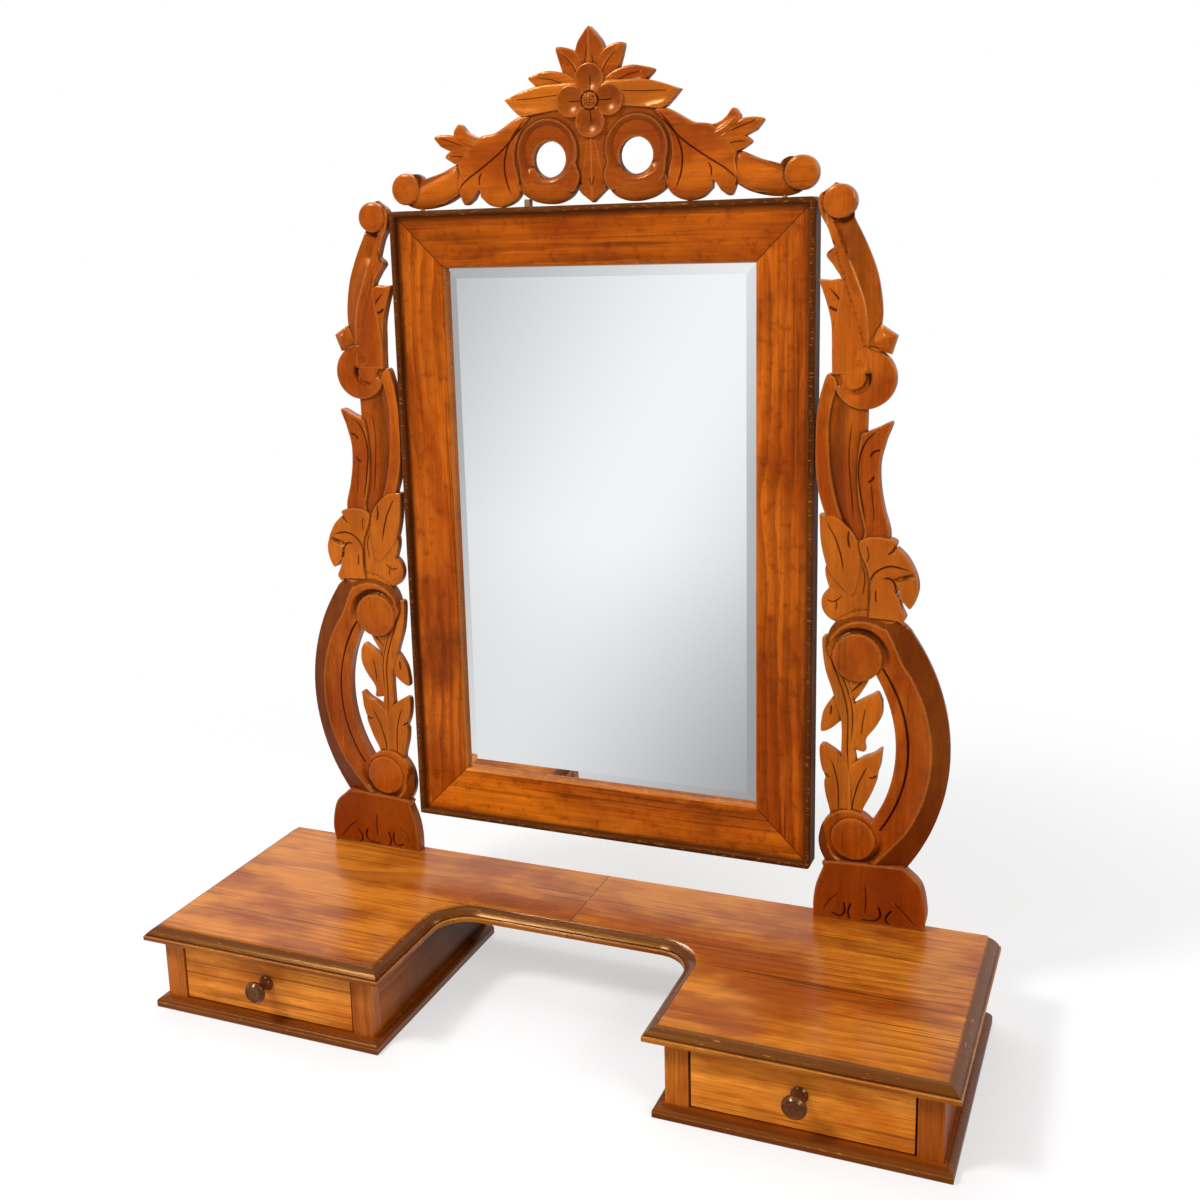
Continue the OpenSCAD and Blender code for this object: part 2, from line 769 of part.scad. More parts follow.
// A square nail head: two crossing roofs leave a low pyramid
module nail_roof() {
  w = carve * nail_w;
  rotate([90, 0, 90]) linear_extrude(w, center = true) polygon([
    [-w / 2, 0], [w / 2, 0], [w / 2, support_t / 2], [0, support_t], [-w / 2, support_t / 2]
  ]);
}

module nail_head()
  translate(carve * [NAIL.x, NAIL.y, 0]) rotate([0, 0, nail_turn]) intersection() {
    nail_roof();
    rotate([0, 0, 90]) nail_roof();
  }

module support_carving() {
  foot();
  scroll();
  button(carve * LOW_EYE, carve * low_r, support_t, 2.5);
  button(carve * HIGH_EYE, carve * high_r, support_t, 2.5);
  relief(carve * outline(TWIN_LEAVES), support_t - twin_sunk);
  relief(carve * outline(VINE), support_t - vine_sunk);
  relief(carve * outline(HOOK_LEAVES), support_t - hook_sunk);
  button(carve * BUD, carve * bud_r, support_t - bud_sunk, 3);
  stems();
  button(carve * TOP_EYE, carve * top_r, support_t, 3.5);
  nail_head();
}

function screw_places() = [for (x = [28, 98]) support_x + x * carve];

module support(left)
  color(WOOD) at_origin() on_side(left) difference() {
    translate([support_x, support_back, base_h]) rotate([90, 0, 0]) support_carving();
    translate([support_x - over, pivot_y, pivot_z]) rotate([0, 90, 0])
      cylinder(d = pin_d + 2 * pin_play, h = pin_reach + 2 * over);
    for (x = screw_places()) translate([x, screw_y, base_h - over])
      cylinder(d = screw_d + 2 * fit, h = screw_hold + 2 * over);
  }

module support_screws()
  color(STEEL) at_origin() for (left = [true, false]) on_side(left)
    for (x = screw_places()) translate([x, screw_y, under_z]) {
      cylinder(d = screw_head_d, h = screw_head_h);
      cylinder(d = screw_d, h = top_t + screw_hold);
    }

// ---------------------------------------------------------------- crest

// Drawn flat over the frame's upper edge. Half of the outline, from the pendant's tip round
// the ring, the drooping leaf, the arm and its volute, up to the crown leaf.
CREST_HALF = [
  [0, 2, 0], [16, 16, 0], [18, 13, 10.5], [84, 14, 14], [131, 14, 0], [133, 23, 0],
  [152.5, 4, 0], [158, 14, 4], [209, 0, 0], [227, 8, 0], [227, 40, 0], [200, 34, -2],
  [160, 46, 0], [174, 57, 2], [158, 64, 0], [187, 79, 3.5], [161, 82, 0], [157, 90, -14],
  [85, 95, 0], [100, 113, 3], [60, 125, 0], [71, 134, 4], [26, 134, 1], [37, 163, 2],
  [18, 158, 5], [0, 182, 0]
];
DROOP_LEAF = [
  [84, 14, 14], [131, 14, 0], [133, 23, 0], [152.5, 4, 0], [158, 14, -8], [112, 60, 6],
  [76, 94, -8], [90, 50, -6]
];
BIG_LEAF = [[14, 98, 0], [78, 95, 2], [100, 113, 3], [60, 125, 0], [14, 122, 0]];
CROWN_LEAF = [[18, 158, 5], [0, 182, 5], [-18, 158, 0], [-12, 120, 0], [12, 120, 0]];
PENDANT = [[0, 2, 0], [16, 16, -5], [3, 74, 0], [-3, 74, -5], [-16, 16, 0]];
RING_EYE = [49.6, 49];
ring_hole = 19;
DISH_EYE = [51, 54];
dish_r = 34;
dish_deep = 7;
END_EYE = [227, 24];
end_r = 17.5;
FLOWER = [0, 107];
petal_out = 22;
petal_r = 16;
petal_deep = 3;
seed_r = 8;

// How far each part of the crest lies under the face of the stock
base_sunk = 6;
ring_sunk = 4;
droop_sunk = 3.5;
leaf_sunk = 3;
end_sunk = 2;
petal_sunk = 1;

module petal(turn) {
  c = shrink * (FLOWER + petal_out * [cos(turn), sin(turn)]);
  face = crest_t - petal_sunk;
  difference() {
    translate([c.x, c.y, 0]) cylinder(r = shrink * petal_r, h = face);
    dish(c, shrink * petal_r - 1, face, petal_deep);
  }
}

module crest_side() {
  face = crest_t - ring_sunk;
  difference() {
    union() {
      translate(shrink * [DISH_EYE.x, DISH_EYE.y, 0]) cylinder(r = shrink * dish_r + 3, h = face);
      relief(shrink * outline(DROOP_LEAF), crest_t - droop_sunk);
      relief(shrink * outline(BIG_LEAF), crest_t - leaf_sunk);
      button(shrink * END_EYE, shrink * end_r, crest_t - end_sunk, 3);
    }
    dish(shrink * DISH_EYE, shrink * dish_r, face, dish_deep);
  }
}

module crest_carving() {
  difference() {
    union() {
      relief(shrink * both_halves(outline_open(CREST_HALF)), crest_t - base_sunk);
      for (left = [true, false]) on_side(left) crest_side();
    }
    for (left = [true, false]) on_side(left)
      translate([shrink * RING_EYE.x, shrink * RING_EYE.y, -over])
        cylinder(r = shrink * ring_hole, h = crest_t + 2 * over);
  }
  relief(shrink * outline(CROWN_LEAF), crest_t - leaf_sunk);
  relief(shrink * outline(PENDANT), crest_t - droop_sunk);
  for (turn = [0 : 90 : 270]) petal(turn);
  button(shrink * FLOWER, shrink * seed_r, crest_t, 2);
}

function dowel_places() = [for (x = [-209, -107.5, 107.5, 209]) x * shrink];

module crest()
  color(WOOD) at_origin() difference() {
    translate([0, crest_back, frame_top]) rotate([90, 0, 0]) crest_carving();
    for (x = dowel_places()) translate([x, dowel_y, frame_top - over])
      cylinder(d = dowel_d + 2 * fit, h = dowel_up + over + run);
  }

module crest_dowels()
  color(PALE) at_origin() for (x = dowel_places())
    translate([x, dowel_y, frame_top - dowel_hold])
      cylinder(d = dowel_d, h = dowel_hold + dowel_up);

// A small block on the frame, in the gap between the left ring and its leaf
module crest_block()
  color(PALE) at_origin()
    slab(-81 * shrink, -75 * shrink, crest_back - 9, crest_back, frame_top, frame_top + 8);

// ---------------------------------------------------------------- the pieces

top_board(true);  // top_left
top_board(false);  // top_right
seam_batten();
back_rail();
bottom_board(true);  // left_bottom_board
outer_side(true);  // left_outer_side
inner_side(true);  // left_inner_side
back_panel(true);  // left_back_panel
outer_stile(true);  // left_outer_stile
inner_stile(true);  // left_inner_stile
drawer_guides(true);  // left_drawer_guides
bottom_board(false);  // right_bottom_board
outer_side(false);  // right_outer_side
inner_side(false);  // right_inner_side
back_panel(false);  // right_back_panel
outer_stile(false);  // right_outer_stile
inner_stile(false);  // right_inner_stile
drawer_guides(false);  // right_drawer_guides
drawer_front(true);  // left_drawer_front
drawer_outer_side(true);  // left_drawer_outer_side
drawer_inner_side(true);  // left_drawer_inner_side
drawer_back(true);  // left_drawer_back
drawer_bottom(true);  // left_drawer_bottom
drawer_knob(true);  // left_drawer_knob
drawer_front(false);  // right_drawer_front
drawer_outer_side(false);  // right_drawer_outer_side
drawer_inner_side(false);  // right_drawer_inner_side
drawer_back(false);  // right_drawer_back
drawer_bottom(false);  // right_drawer_bottom
drawer_knob(false);  // right_drawer_knob
support(true);  // left_support
support(false);  // right_support
support_screws();
frame_stile(3);  // frame_left_stile
frame_stile(1);  // frame_right_stile
frame_top_rail();
frame_bottom_rail();
edge_side(3);  // edge_left
edge_side(1);  // edge_right
edge_top();
edge_bottom();
mirror_glass();
back_board();
back_board_pins();
pivot_pins();
pivot_washers();
crest();
crest_dowels();
crest_block();
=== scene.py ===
"""Looks of a dressing mirror: low base with two drawer wings, carved supports, tilting glass.

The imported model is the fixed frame. The two supports and the crest are carved here in full,
and every other piece keeps its shape and gets its wood, glass, metal or leather.
"""

import json
import logging
import math
from dataclasses import dataclass, field
from enum import Enum
from typing import Callable, Mapping, Sequence, Union

import bpy
import numpy as np
from mathutils import Matrix, Vector
from mathutils.geometry import delaunay_2d_cdt

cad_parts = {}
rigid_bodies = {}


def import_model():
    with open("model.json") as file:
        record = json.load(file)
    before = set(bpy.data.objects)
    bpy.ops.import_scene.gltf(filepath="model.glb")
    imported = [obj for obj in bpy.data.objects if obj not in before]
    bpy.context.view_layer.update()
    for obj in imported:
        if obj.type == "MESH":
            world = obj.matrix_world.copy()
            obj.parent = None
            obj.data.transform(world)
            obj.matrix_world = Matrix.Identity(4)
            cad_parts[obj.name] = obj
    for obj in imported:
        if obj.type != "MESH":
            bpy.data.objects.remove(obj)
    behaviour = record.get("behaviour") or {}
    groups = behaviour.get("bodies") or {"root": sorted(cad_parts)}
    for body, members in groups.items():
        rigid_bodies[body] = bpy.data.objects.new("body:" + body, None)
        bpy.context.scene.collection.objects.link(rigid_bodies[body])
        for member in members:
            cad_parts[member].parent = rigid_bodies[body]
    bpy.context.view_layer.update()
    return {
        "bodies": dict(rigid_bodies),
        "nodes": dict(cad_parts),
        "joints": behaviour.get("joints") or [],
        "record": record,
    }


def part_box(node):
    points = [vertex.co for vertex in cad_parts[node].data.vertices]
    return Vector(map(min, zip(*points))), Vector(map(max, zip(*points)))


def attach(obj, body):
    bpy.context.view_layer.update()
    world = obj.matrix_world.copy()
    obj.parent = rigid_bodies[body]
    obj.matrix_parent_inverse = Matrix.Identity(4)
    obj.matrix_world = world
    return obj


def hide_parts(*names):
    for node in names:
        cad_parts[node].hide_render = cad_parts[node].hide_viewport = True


log = logging.getLogger("dressing_mirror")

Colour = tuple[float, float, float]
Point = tuple[float, float]
Array = np.ndarray
Step = tuple[float, float]

MM = 0.001

# Colours are linear red, green and blue.
AMBER = (1.0, 0.45, 0.09, 1.0)
UMBER = (0.080, 0.021, 0.004)
STAIN = (0.17, 0.022, 0.0015)
HONEY = (0.66, 0.21, 0.018)
# Near black for joints and sooty lines, and also painted shade in the top's quirk and the wings' recess.
SOOT_AND_SHADE = (0.025, 0.007, 0.002)
# Pale for rubbed wood and chips, and also painted highlights on lips, the sight edge and carved ridges.
WEAR_AND_HIGHLIGHT = (0.58, 0.22, 0.045)

# Where the details of the finishes lie, in metres. A pair is a soft step from none to full.
TOP_SLOPE = ((0.0899, 0.0906), (0.0979, 0.0986))
TOP_QUIRK = ((0.0898, 0.0901), (0.0911, 0.0915))
TOP_LIP = ((0.0878, 0.0888), (0.0896, 0.0898))
TOP_FILLET = ((0.0983, 0.0986), (0.0996, 0.09995))
TOP_UNDER = (0.0898, 0.0902)
TOP_JOINT = (0.0003, 0.0007)
BOARD_SLOPE = (0.0108, 0.0113)
BOARD_LIP = ((0.0044, 0.0056), (0.0062, 0.007))
BOARD_FACE = (0.0112, 0.0114)
GLASS_MIDDLE = 0.516
SIGHT_WIDE, SIGHT_HIGH = 0.181, 0.300
MITRE_LINE = (0.0004, 0.0011)
OUTSIDE_WIDE, OUTSIDE_HIGH = (0.1805, 0.1812), (0.2995, 0.3005)
RIM_WIDE, RIM_HIGH = (0.2325, 0.2378), (0.3515, 0.3568)
INSIDE_WIDE, INSIDE_HIGH = (0.1815, 0.1832), (0.3010, 0.3032)
GLASS_RIM_WIDE, GLASS_RIM_HIGH = (0.1795, 0.181), (0.2985, 0.300)
STRIP_BACK, STRIP_FRONT = (0.138, 0.146), (0.1350, 0.1358)
RECESS_DEEP, RECESS_HIGH = (-0.13, 0.02), (0.03, 0.09)
KNOB_RING = ((0.0068, 0.0074), (0.0082, 0.0088))
KNOB_FACE = (-0.172, -0.168)


# ---------------------------------------------------------------------------- shader maths

class Wire:
    """An output of a shader node that takes part in Python expressions."""

    def __init__(self, shader: "Shader", socket: bpy.types.NodeSocket) -> None:
        """Keeps the shader that the socket belongs to.

        Args:
            shader: the shader being built.
            socket: the node's output.
        """
        self.shader = shader
        self.socket = socket

    def maths(self, operation: str, *values: "Value") -> "Wire":
        """Adds a Math node.

        Args:
            operation: the node's operation.
            values: its inputs, in order.

        Returns:
            The result.
        """
        return self.shader.node("ShaderNodeMath", {"operation": operation}, dict(enumerate(values)))

    def __add__(self, other: "Value") -> "Wire":
        """Returns the sum."""
        return self.maths("ADD", self, other)

    __radd__ = __add__

    def __sub__(self, other: "Value") -> "Wire":
        """Returns the difference."""
        return self.maths("SUBTRACT", self, other)

    def __rsub__(self, other: "Value") -> "Wire":
        """Returns the difference the other way round."""
        return self.maths("SUBTRACT", other, self)

    def __mul__(self, other: "Value") -> "Wire":
        """Returns the product."""
        return self.maths("MULTIPLY", self, other)

    __rmul__ = __mul__

    def __truediv__(self, other: "Value") -> "Wire":
        """Returns the quotient."""
        return self.maths("DIVIDE", self, other)

    def __pow__(self, power: "Value") -> "Wire":
        """Returns the power."""
        return self.maths("POWER", self, power)

    def __abs__(self) -> "Wire":
        """Returns the absolute value."""
        return self.maths("ABSOLUTE", self)

    def larger(self, other: "Value") -> "Wire":
        """Returns the larger of two values."""
        return self.maths("MAXIMUM", self, other)

    def fract(self) -> "Wire":
        """Returns what lies over the whole number."""
        return self.maths("FRACT", self)

    def rise(self, low: float, high: float) -> "Wire":
        """Returns 0 under low, 1 over high and a smooth step between them."""
        return self.shader.node("ShaderNodeMapRange", {"interpolation_type": "SMOOTHSTEP"},
                                {"Value": self, "From Min": low, "From Max": high})

    def fall(self, low: float, high: float) -> "Wire":
        """Returns 1 under low, 0 over high and a smooth step between them."""
        return 1.0 - self.rise(low, high)

    def within(self, up: Step, down: Step) -> "Wire":
        """Returns 1 between a smooth step up and a smooth step down, and 0 outside them."""
        return self.rise(*up) * self.fall(*down)


Value = Union[Wire, float, int, tuple, Vector]


class Shader:
    """A node tree of a material or of the world being built."""

    def __init__(self, owner: Union[bpy.types.Material, bpy.types.World]) -> None:
        """Empties the owner's node tree.

        Args:
            owner: what the shader belongs to.
        """
        self.owner = owner
        self.owner.use_nodes = True
        self.tree = owner.node_tree
        self.tree.nodes.clear()

    @classmethod
    def of_material(cls, name: str) -> "Shader":
        """Returns the empty shader of a new material."""
        return cls(bpy.data.materials.new(name))

    def node(self, kind: str, settings: Mapping[str, object] | None = None,
             inputs: Mapping[Union[str, int], Value] | None = None,
             out: Union[str, int] = 0) -> Wire:
        """Adds a node.

        Args:
            kind: the node's type.
            settings: its settings.
            inputs: a value or a wire for each socket.
            out: the output that is wanted.

        Returns:
            That output.
        """
        made = self.tree.nodes.new(kind)
        for name, value in (settings or {}).items():
            setattr(made, name, value)
        for name, value in (inputs or {}).items():
            if isinstance(value, Wire):
                self.tree.links.new(value.socket, made.inputs[name])
            elif isinstance(value, tuple) and len(value) == 3 and made.inputs[name].type == "RGBA":
                made.inputs[name].default_value = (*value, 1.0)
            else:
                made.inputs[name].default_value = value
        return Wire(self, made.outputs[out])

    def mix(self, factor: Value, first: Value, second: Value, blend: str = "MIX") -> Wire:
        """Returns two colours mixed by a factor."""
        return self.node("ShaderNodeMix", {"data_type": "RGBA", "blend_type": blend},
                         {0: factor, 6: first, 7: second}, out=2)

    def blend(self, factor: Value, first: Wire, second: Wire) -> Wire:
        """Returns two shaders mixed by a factor."""
        return self.node("ShaderNodeMixShader", None, {0: factor, 1: first, 2: second})

    def glow(self, colour: Value, strength: float = 1.0) -> Wire:
        """Returns a light of its own."""
        return self.node("ShaderNodeEmission", None, {"Color": colour, "Strength": strength})

    def ray(self, kind: str) -> Wire:
        """Returns 1 for rays of a kind, such as Camera."""
        return self.node("ShaderNodeLightPath", out=f"Is {kind} Ray")

    def place(self) -> Wire:
        """Returns the point on the object, in metres."""
        return self.node("ShaderNodeTexCoord", out="Object")

    def split(self, vector: Wire) -> tuple[Wire, Wire, Wire]:
        """Returns a vector's three parts."""
        parts = self.node("ShaderNodeSeparateXYZ", None, {0: vector})
        return tuple(Wire(self, socket) for socket in parts.socket.node.outputs)

    def join(self, x: Value, y: Value, z: Value) -> Wire:
        """Returns a vector made of three parts."""
        return self.node("ShaderNodeCombineXYZ", None, {0: x, 1: y, 2: z})

    def grey(self, value: Wire) -> Wire:
        """Returns a grey of a brightness."""
        return self.join(value, value, value)

    def noise(self, vector: Wire, scale: float, detail: float = 2.0, rough: float = 0.5) -> Wire:
        """Returns soft noise between 0 and 1."""
        return self.node("ShaderNodeTexNoise", None,
                         {"Vector": vector, "Scale": scale, "Detail": detail, "Roughness": rough})

    def bump(self, height: Wire, strength: float, distance: float) -> Wire:
        """Returns the normal of a surface with a fine height."""
        return self.node("ShaderNodeBump", None,
                         {"Strength": strength, "Distance": distance, "Height": height})

    def painted(self, name: str) -> Wire:
        """Returns a value that was worked out for each point of a mesh."""
        return self.node("ShaderNodeAttribute", {"attribute_name": name}, out="Fac")

    def finish(self, sockets: Mapping[str, Value]) -> bpy.types.Material:
        """Ends the material with a Principled shader.

        Args:
            sockets: its values and wires.

        Returns:
            The material.
        """
        self.end(self.node("ShaderNodeBsdfPrincipled", None, sockets, out="BSDF"))
        return self.owner

    def end(self, body: Wire) -> None:
        """Leads a shader to the owner's output."""
        of_world = isinstance(self.owner, bpy.types.World)
        end = self.tree.nodes.new("ShaderNodeOutputWorld" if of_world else "ShaderNodeOutputMaterial")
        self.tree.links.new(body.socket, end.inputs["Surface"])


# ---------------------------------------------------------------------------- finishes

class Grain(Enum):
    """The way the fibres of a piece run: the axis along them, then the two across."""

    ALONG_X = (0, 1, 2)
    ALONG_Y = (1, 0, 2)
    ALONG_Z = (2, 0, 1)


class Detail(Enum):
    """What a wooden piece has besides its grain."""

    PLAIN = "plain"
    TOP_EDGE = "moulded edge of the top"
    BOARD_EDGE = "moulded edge of a bottom board"
    MITRES = "mitres of the mirror frame"
    # The carving's grooves also hold painted shade, and its worn ridges carry a painted highlight.
    CARVED = "grooves and worn ridges of the carving"
    STRIP = "edge strip of the mirror frame"
    # The recess detail paints shadow on a wing's inner side, darker inwards and upwards.
    RECESS = "old dirt on a wing's side in the recess"
    KNOB = "turned ring on a knob's face"


@dataclass
class Spot:
    """What a wood's detail is worked out from: the place in metres and two kinds of soft noise."""

    s: Shader
    x: Wire
    y: Wire
    z: Wire
    clouds: Wire
    rub_and_highlight: Wire


@dataclass(frozen=True)
class Wood:
    """A wood with growth rings, fibres, pores, dark streaks, its varnish and wear, and some painted shade and
    highlights.
    """

    name: str
    grain: Grain
    pale: Colour
    mid: Colour
    deep: Colour
    detail: Detail = Detail.PLAIN
    seed: float = 0.0
    rings: float = 70.0
    ring_force: float = 0.5
    streak_force: float = 0.5
    pith: Point = (0.02, -0.09)
    smoke_force: float = 0.35
    swirl: float = 0.004
    fleck: float = 0.4
    mottle: float = 0.0
    gloss: float = 0.3
    sheen: float = 0.3
    coat: float = 0.06
    coat_gloss: float = 0.14
    bump: float = 0.12
    bump_deep: float = 0.0006

    def build(self) -> bpy.types.Material:
        """Returns the material."""
        s = Shader.of_material(self.name)
        x, y, z = s.split(s.place())
        a, b, c = ((x, y, z)[i] for i in self.grain.value)
        rings = self.ring_lines(s, a, b, c)
        fibres = s.noise(s.join(a * 9.0, b * 420.0, c * 420.0), 1.0, 4.0, 0.65)
        pores = s.noise(s.join(a * 40.0 + self.seed, b * 1000.0, c * 1000.0), 1.0, 1.0).rise(0.6, 0.72)
        clouds = s.noise(s.join(a * 6.0, b * 13.0 + self.seed, c * 13.0), 1.0, 4.0, 0.6)
        # Patchy noise for rubbed wear and for the painted highlights on edges.
        rub_and_highlight = s.noise(s.join(x * 110.0, y * 110.0, z * 500.0), 1.0, 3.0, 0.6).rise(0.56, 0.68)
        colour = self.figure(s, (a, b, c), rings, clouds)
        colour = s.mix(pores * 0.4, colour, self.darkest())
        if self.mottle:
            burr = s.noise(s.place(), 70.0, 5.0, 0.68).rise(0.5, 0.7)
            colour = s.mix(burr * self.mottle, colour, self.deep)
        shade = fibres.rise(0.25, 0.75) * self.fleck + (1.0 - self.fleck * 0.6)
        colour = s.mix(1.0, colour, s.grey(shade), "MULTIPLY")
        rough = clouds * 0.14 + pores * 0.1 + (self.gloss - 0.07)
        if self.detail is Detail.CARVED:
            rough = rough + s.painted("grime_and_shade") * 0.2
        height = fibres * 0.5 - pores * 0.6 - rings * 0.15
        return s.finish({"Base Color": self.with_detail(Spot(s, x, y, z, clouds, rub_and_highlight), colour),
                         "Roughness": rough, "Normal": s.bump(height, self.bump, self.bump_deep),
                         "Specular IOR Level": self.sheen, "Specular Tint": AMBER,
                         "Coat Weight": self.coat, "Coat Roughness": self.coat_gloss})

    def darkest(self) -> Colour:
        """Returns the colour of the pores and the finest lines."""
        return tuple(v * 0.45 for v in self.deep)

    def ring_lines(self, s: Shader, a: Wire, b: Wire, c: Wire) -> Wire:
        """Returns the growth rings as the saw has cut them, 1 on a dark line."""
        drift = s.noise(s.join(a * 2.4 + self.seed, b * 7.0, c * 7.0), 1.0, 2.0, 0.5) - 0.5
        wave = s.noise(s.join(a * 14.0, b * 30.0 + self.seed, c * 30.0), 1.0, 2.0, 0.5) - 0.5
        off_b, off_c = b - self.pith[0], c - self.pith[1]
        radius = (off_b * off_b + off_c * off_c) ** 0.5
        step = ((radius + drift * 0.05 + wave * self.swirl) * self.rings).fract()
        return step.within((0.1, 0.85), (0.9, 1.0))

    def figure(self, s: Shader, along: tuple[Wire, Wire, Wire], rings: Wire, clouds: Wire) -> Wire:
        """Returns the colour of the boards before pores and fibres.

        Args:
            s: the shader.
            along: the place along the fibres and across them, in metres.
            rings: the growth rings.
            clouds: soft noise between pale and darker wood.

        Returns:
            The colour.
        """
        a, b, c = along
        patches = s.noise(s.join(a * 3.0, b * 12.0 + self.seed, c * 12.0), 1.0, 2.0).rise(0.36, 0.62)
        bands = s.noise(s.join(a * 2.2 + self.seed, b * 30.0, c * 30.0), 1.0, 2.0).rise(0.42, 0.7)
        lines = s.noise(s.join(a * 5.0, b * 300.0 + self.seed, c * 300.0), 1.0, 3.0, 0.6).rise(0.53, 0.62)
        smoke = s.noise(s.join(a * 7.0 + 4.0, b * 16.0, c * 16.0 + self.seed), 1.0, 3.0, 0.6).rise(0.54, 0.76)
        colour = s.mix(clouds.rise(0.39, 0.61), self.pale, self.mid)
        colour = s.mix(rings * (patches * self.ring_force), colour, self.deep)
        colour = s.mix(bands * lines * self.streak_force, colour, self.darkest())
        return s.mix(smoke * self.smoke_force, colour, self.deep)

    def with_detail(self, spot: Spot, colour: Wire) -> Wire:
        """Returns the colour with the piece's own dark places and wear, partly painted shade and painted
        highlights.
        """
        details = {Detail.TOP_EDGE: self.top_edge, Detail.BOARD_EDGE: self.board_edge,
                   Detail.MITRES: self.mitres, Detail.STRIP: self.strip, Detail.RECESS: self.recess,
                   Detail.KNOB: self.knob_ring, Detail.CARVED: self.carved}
        return details[self.detail](spot, colour) if self.detail in details else colour

    def top_edge(self, spot: Spot, colour: Wire) -> Wire:
        """Returns the colour with the top's dark slope, its chips, rubbed lips with a painted highlight,
        painted shade in the quirk and under the top, and the joint.
        """
        s, z = spot.s, spot.z
        slope = z.within(*TOP_SLOPE)
        colour = s.mix(slope * (1.0 - 0.15 * spot.clouds), colour, UMBER)
        # Painted shade in the quirk between the lip and the slope.
        colour = s.mix(z.within(*TOP_QUIRK) * 0.75, colour, SOOT_AND_SHADE)
        # Painted shade under the top.
        colour = s.mix(z.fall(*TOP_UNDER) * 0.45, colour, UMBER)
        chips = s.noise(s.join(spot.x * 60.0, spot.y * 60.0, z * 900.0), 1.0, 2.0, 0.6).rise(0.68, 0.72)
        colour = s.mix(chips * slope * 0.6, colour, WEAR_AND_HIGHLIGHT)
        # Lips and fillet rubbed pale, with a painted highlight.
        lips = z.within(*TOP_LIP) * (0.5 + spot.rub_and_highlight * 0.5) + z.within(*TOP_FILLET) * 0.45
        colour = s.mix(lips, colour, WEAR_AND_HIGHLIGHT)
        return s.mix(abs(spot.x).fall(*TOP_JOINT) * 0.85, colour, SOOT_AND_SHADE)

    def board_edge(self, spot: Spot, colour: Wire) -> Wire:
        """Returns the colour with a bottom board's dark edge and its lip, rubbed pale with a painted
        highlight.
        """
        s, z = spot.s, spot.z
        colour = s.mix(z.fall(*BOARD_SLOPE) * (0.95 - 0.4 * spot.clouds), colour, UMBER)
        colour = s.mix(z.within(*BOARD_LIP) * (0.2 + spot.rub_and_highlight * 0.6), colour, WEAR_AND_HIGHLIGHT)
        return s.mix(z.rise(*BOARD_FACE) * 0.35, colour, UMBER)

    def mitres(self, spot: Spot, colour: Wire) -> Wire:
        """Returns the colour with the frame's mitre lines, dark rim, and sight edge rubbed pale with a
        painted highlight.
        """
        s, wide, high = spot.s, abs(spot.x), abs(spot.z - GLASS_MIDDLE)
        corner = abs((wide - SIGHT_WIDE) - (high - SIGHT_HIGH)).fall(*MITRE_LINE)
        outside = wide.rise(*OUTSIDE_WIDE) * high.rise(*OUTSIDE_HIGH)
        colour = s.mix(corner * outside * 0.85, colour, SOOT_AND_SHADE)
        colour = s.mix(wide.rise(*RIM_WIDE).larger(high.rise(*RIM_HIGH)) * 0.6, colour, UMBER)
        sight = wide.fall(*INSIDE_WIDE) * high.fall(*INSIDE_HIGH)
        return s.mix(sight * (0.3 + spot.rub_and_highlight * 0.4), colour, WEAR_AND_HIGHLIGHT)

    def strip(self, spot: Spot, colour: Wire) -> Wire:
        """Returns the colour of an edge strip, darker towards the back and rubbed in front."""
        s, y = spot.s, spot.y
        colour = s.mix(y.rise(*STRIP_BACK) * 0.6, colour, SOOT_AND_SHADE)
        return s.mix(spot.rub_and_highlight * y.fall(*STRIP_FRONT) * 0.4, colour, WEAR_AND_HIGHLIGHT)

    def recess(self, spot: Spot, colour: Wire) -> Wire:
        """Returns the colour with painted shadow that grows inwards and upwards."""
        dirt_and_shade = spot.y.rise(*RECESS_DEEP) * 0.7 + spot.z.rise(*RECESS_HIGH) * 0.25
        return spot.s.mix(dirt_and_shade, colour, SOOT_AND_SHADE)

    def knob_ring(self, spot: Spot, colour: Wire) -> Wire:
        """Returns the colour with a dark ring round the pith, which is the knob's axis."""
        off_x, off_z = spot.x - self.pith[0], spot.z - self.pith[1]
        ring = ((off_x * off_x + off_z * off_z) ** 0.5).within(*KNOB_RING)
        return spot.s.mix(ring * spot.y.fall(*KNOB_FACE) * 0.8, colour, SOOT_AND_SHADE)

    def carved(self, spot: Spot, colour: Wire) -> Wire:
        """Returns the colour with each leaf's stain, grime and painted shade in the hollows, and worn ridges
        with a painted highlight.
        """
        s = spot.s
        stain = s.painted("stain")
        colour = s.mix(stain.larger(0.0), colour, STAIN)
        colour = s.mix((0.0 - stain).larger(0.0), colour, HONEY)
        dirt_and_shade = tuple(v * 0.3 for v in self.deep)
        # Grime and painted shade: dark in grooves and dishes, on falling bevels and beside higher leaves.
        colour = s.mix(s.painted("grime_and_shade").rise(0.02, 0.9) * 0.93, colour, dirt_and_shade)
        # Ridges and rims, pale with wear and with a painted highlight.
        return s.mix(s.painted("ridge") * (0.32 + spot.rub_and_highlight * 0.3), colour, WEAR_AND_HIGHLIGHT)


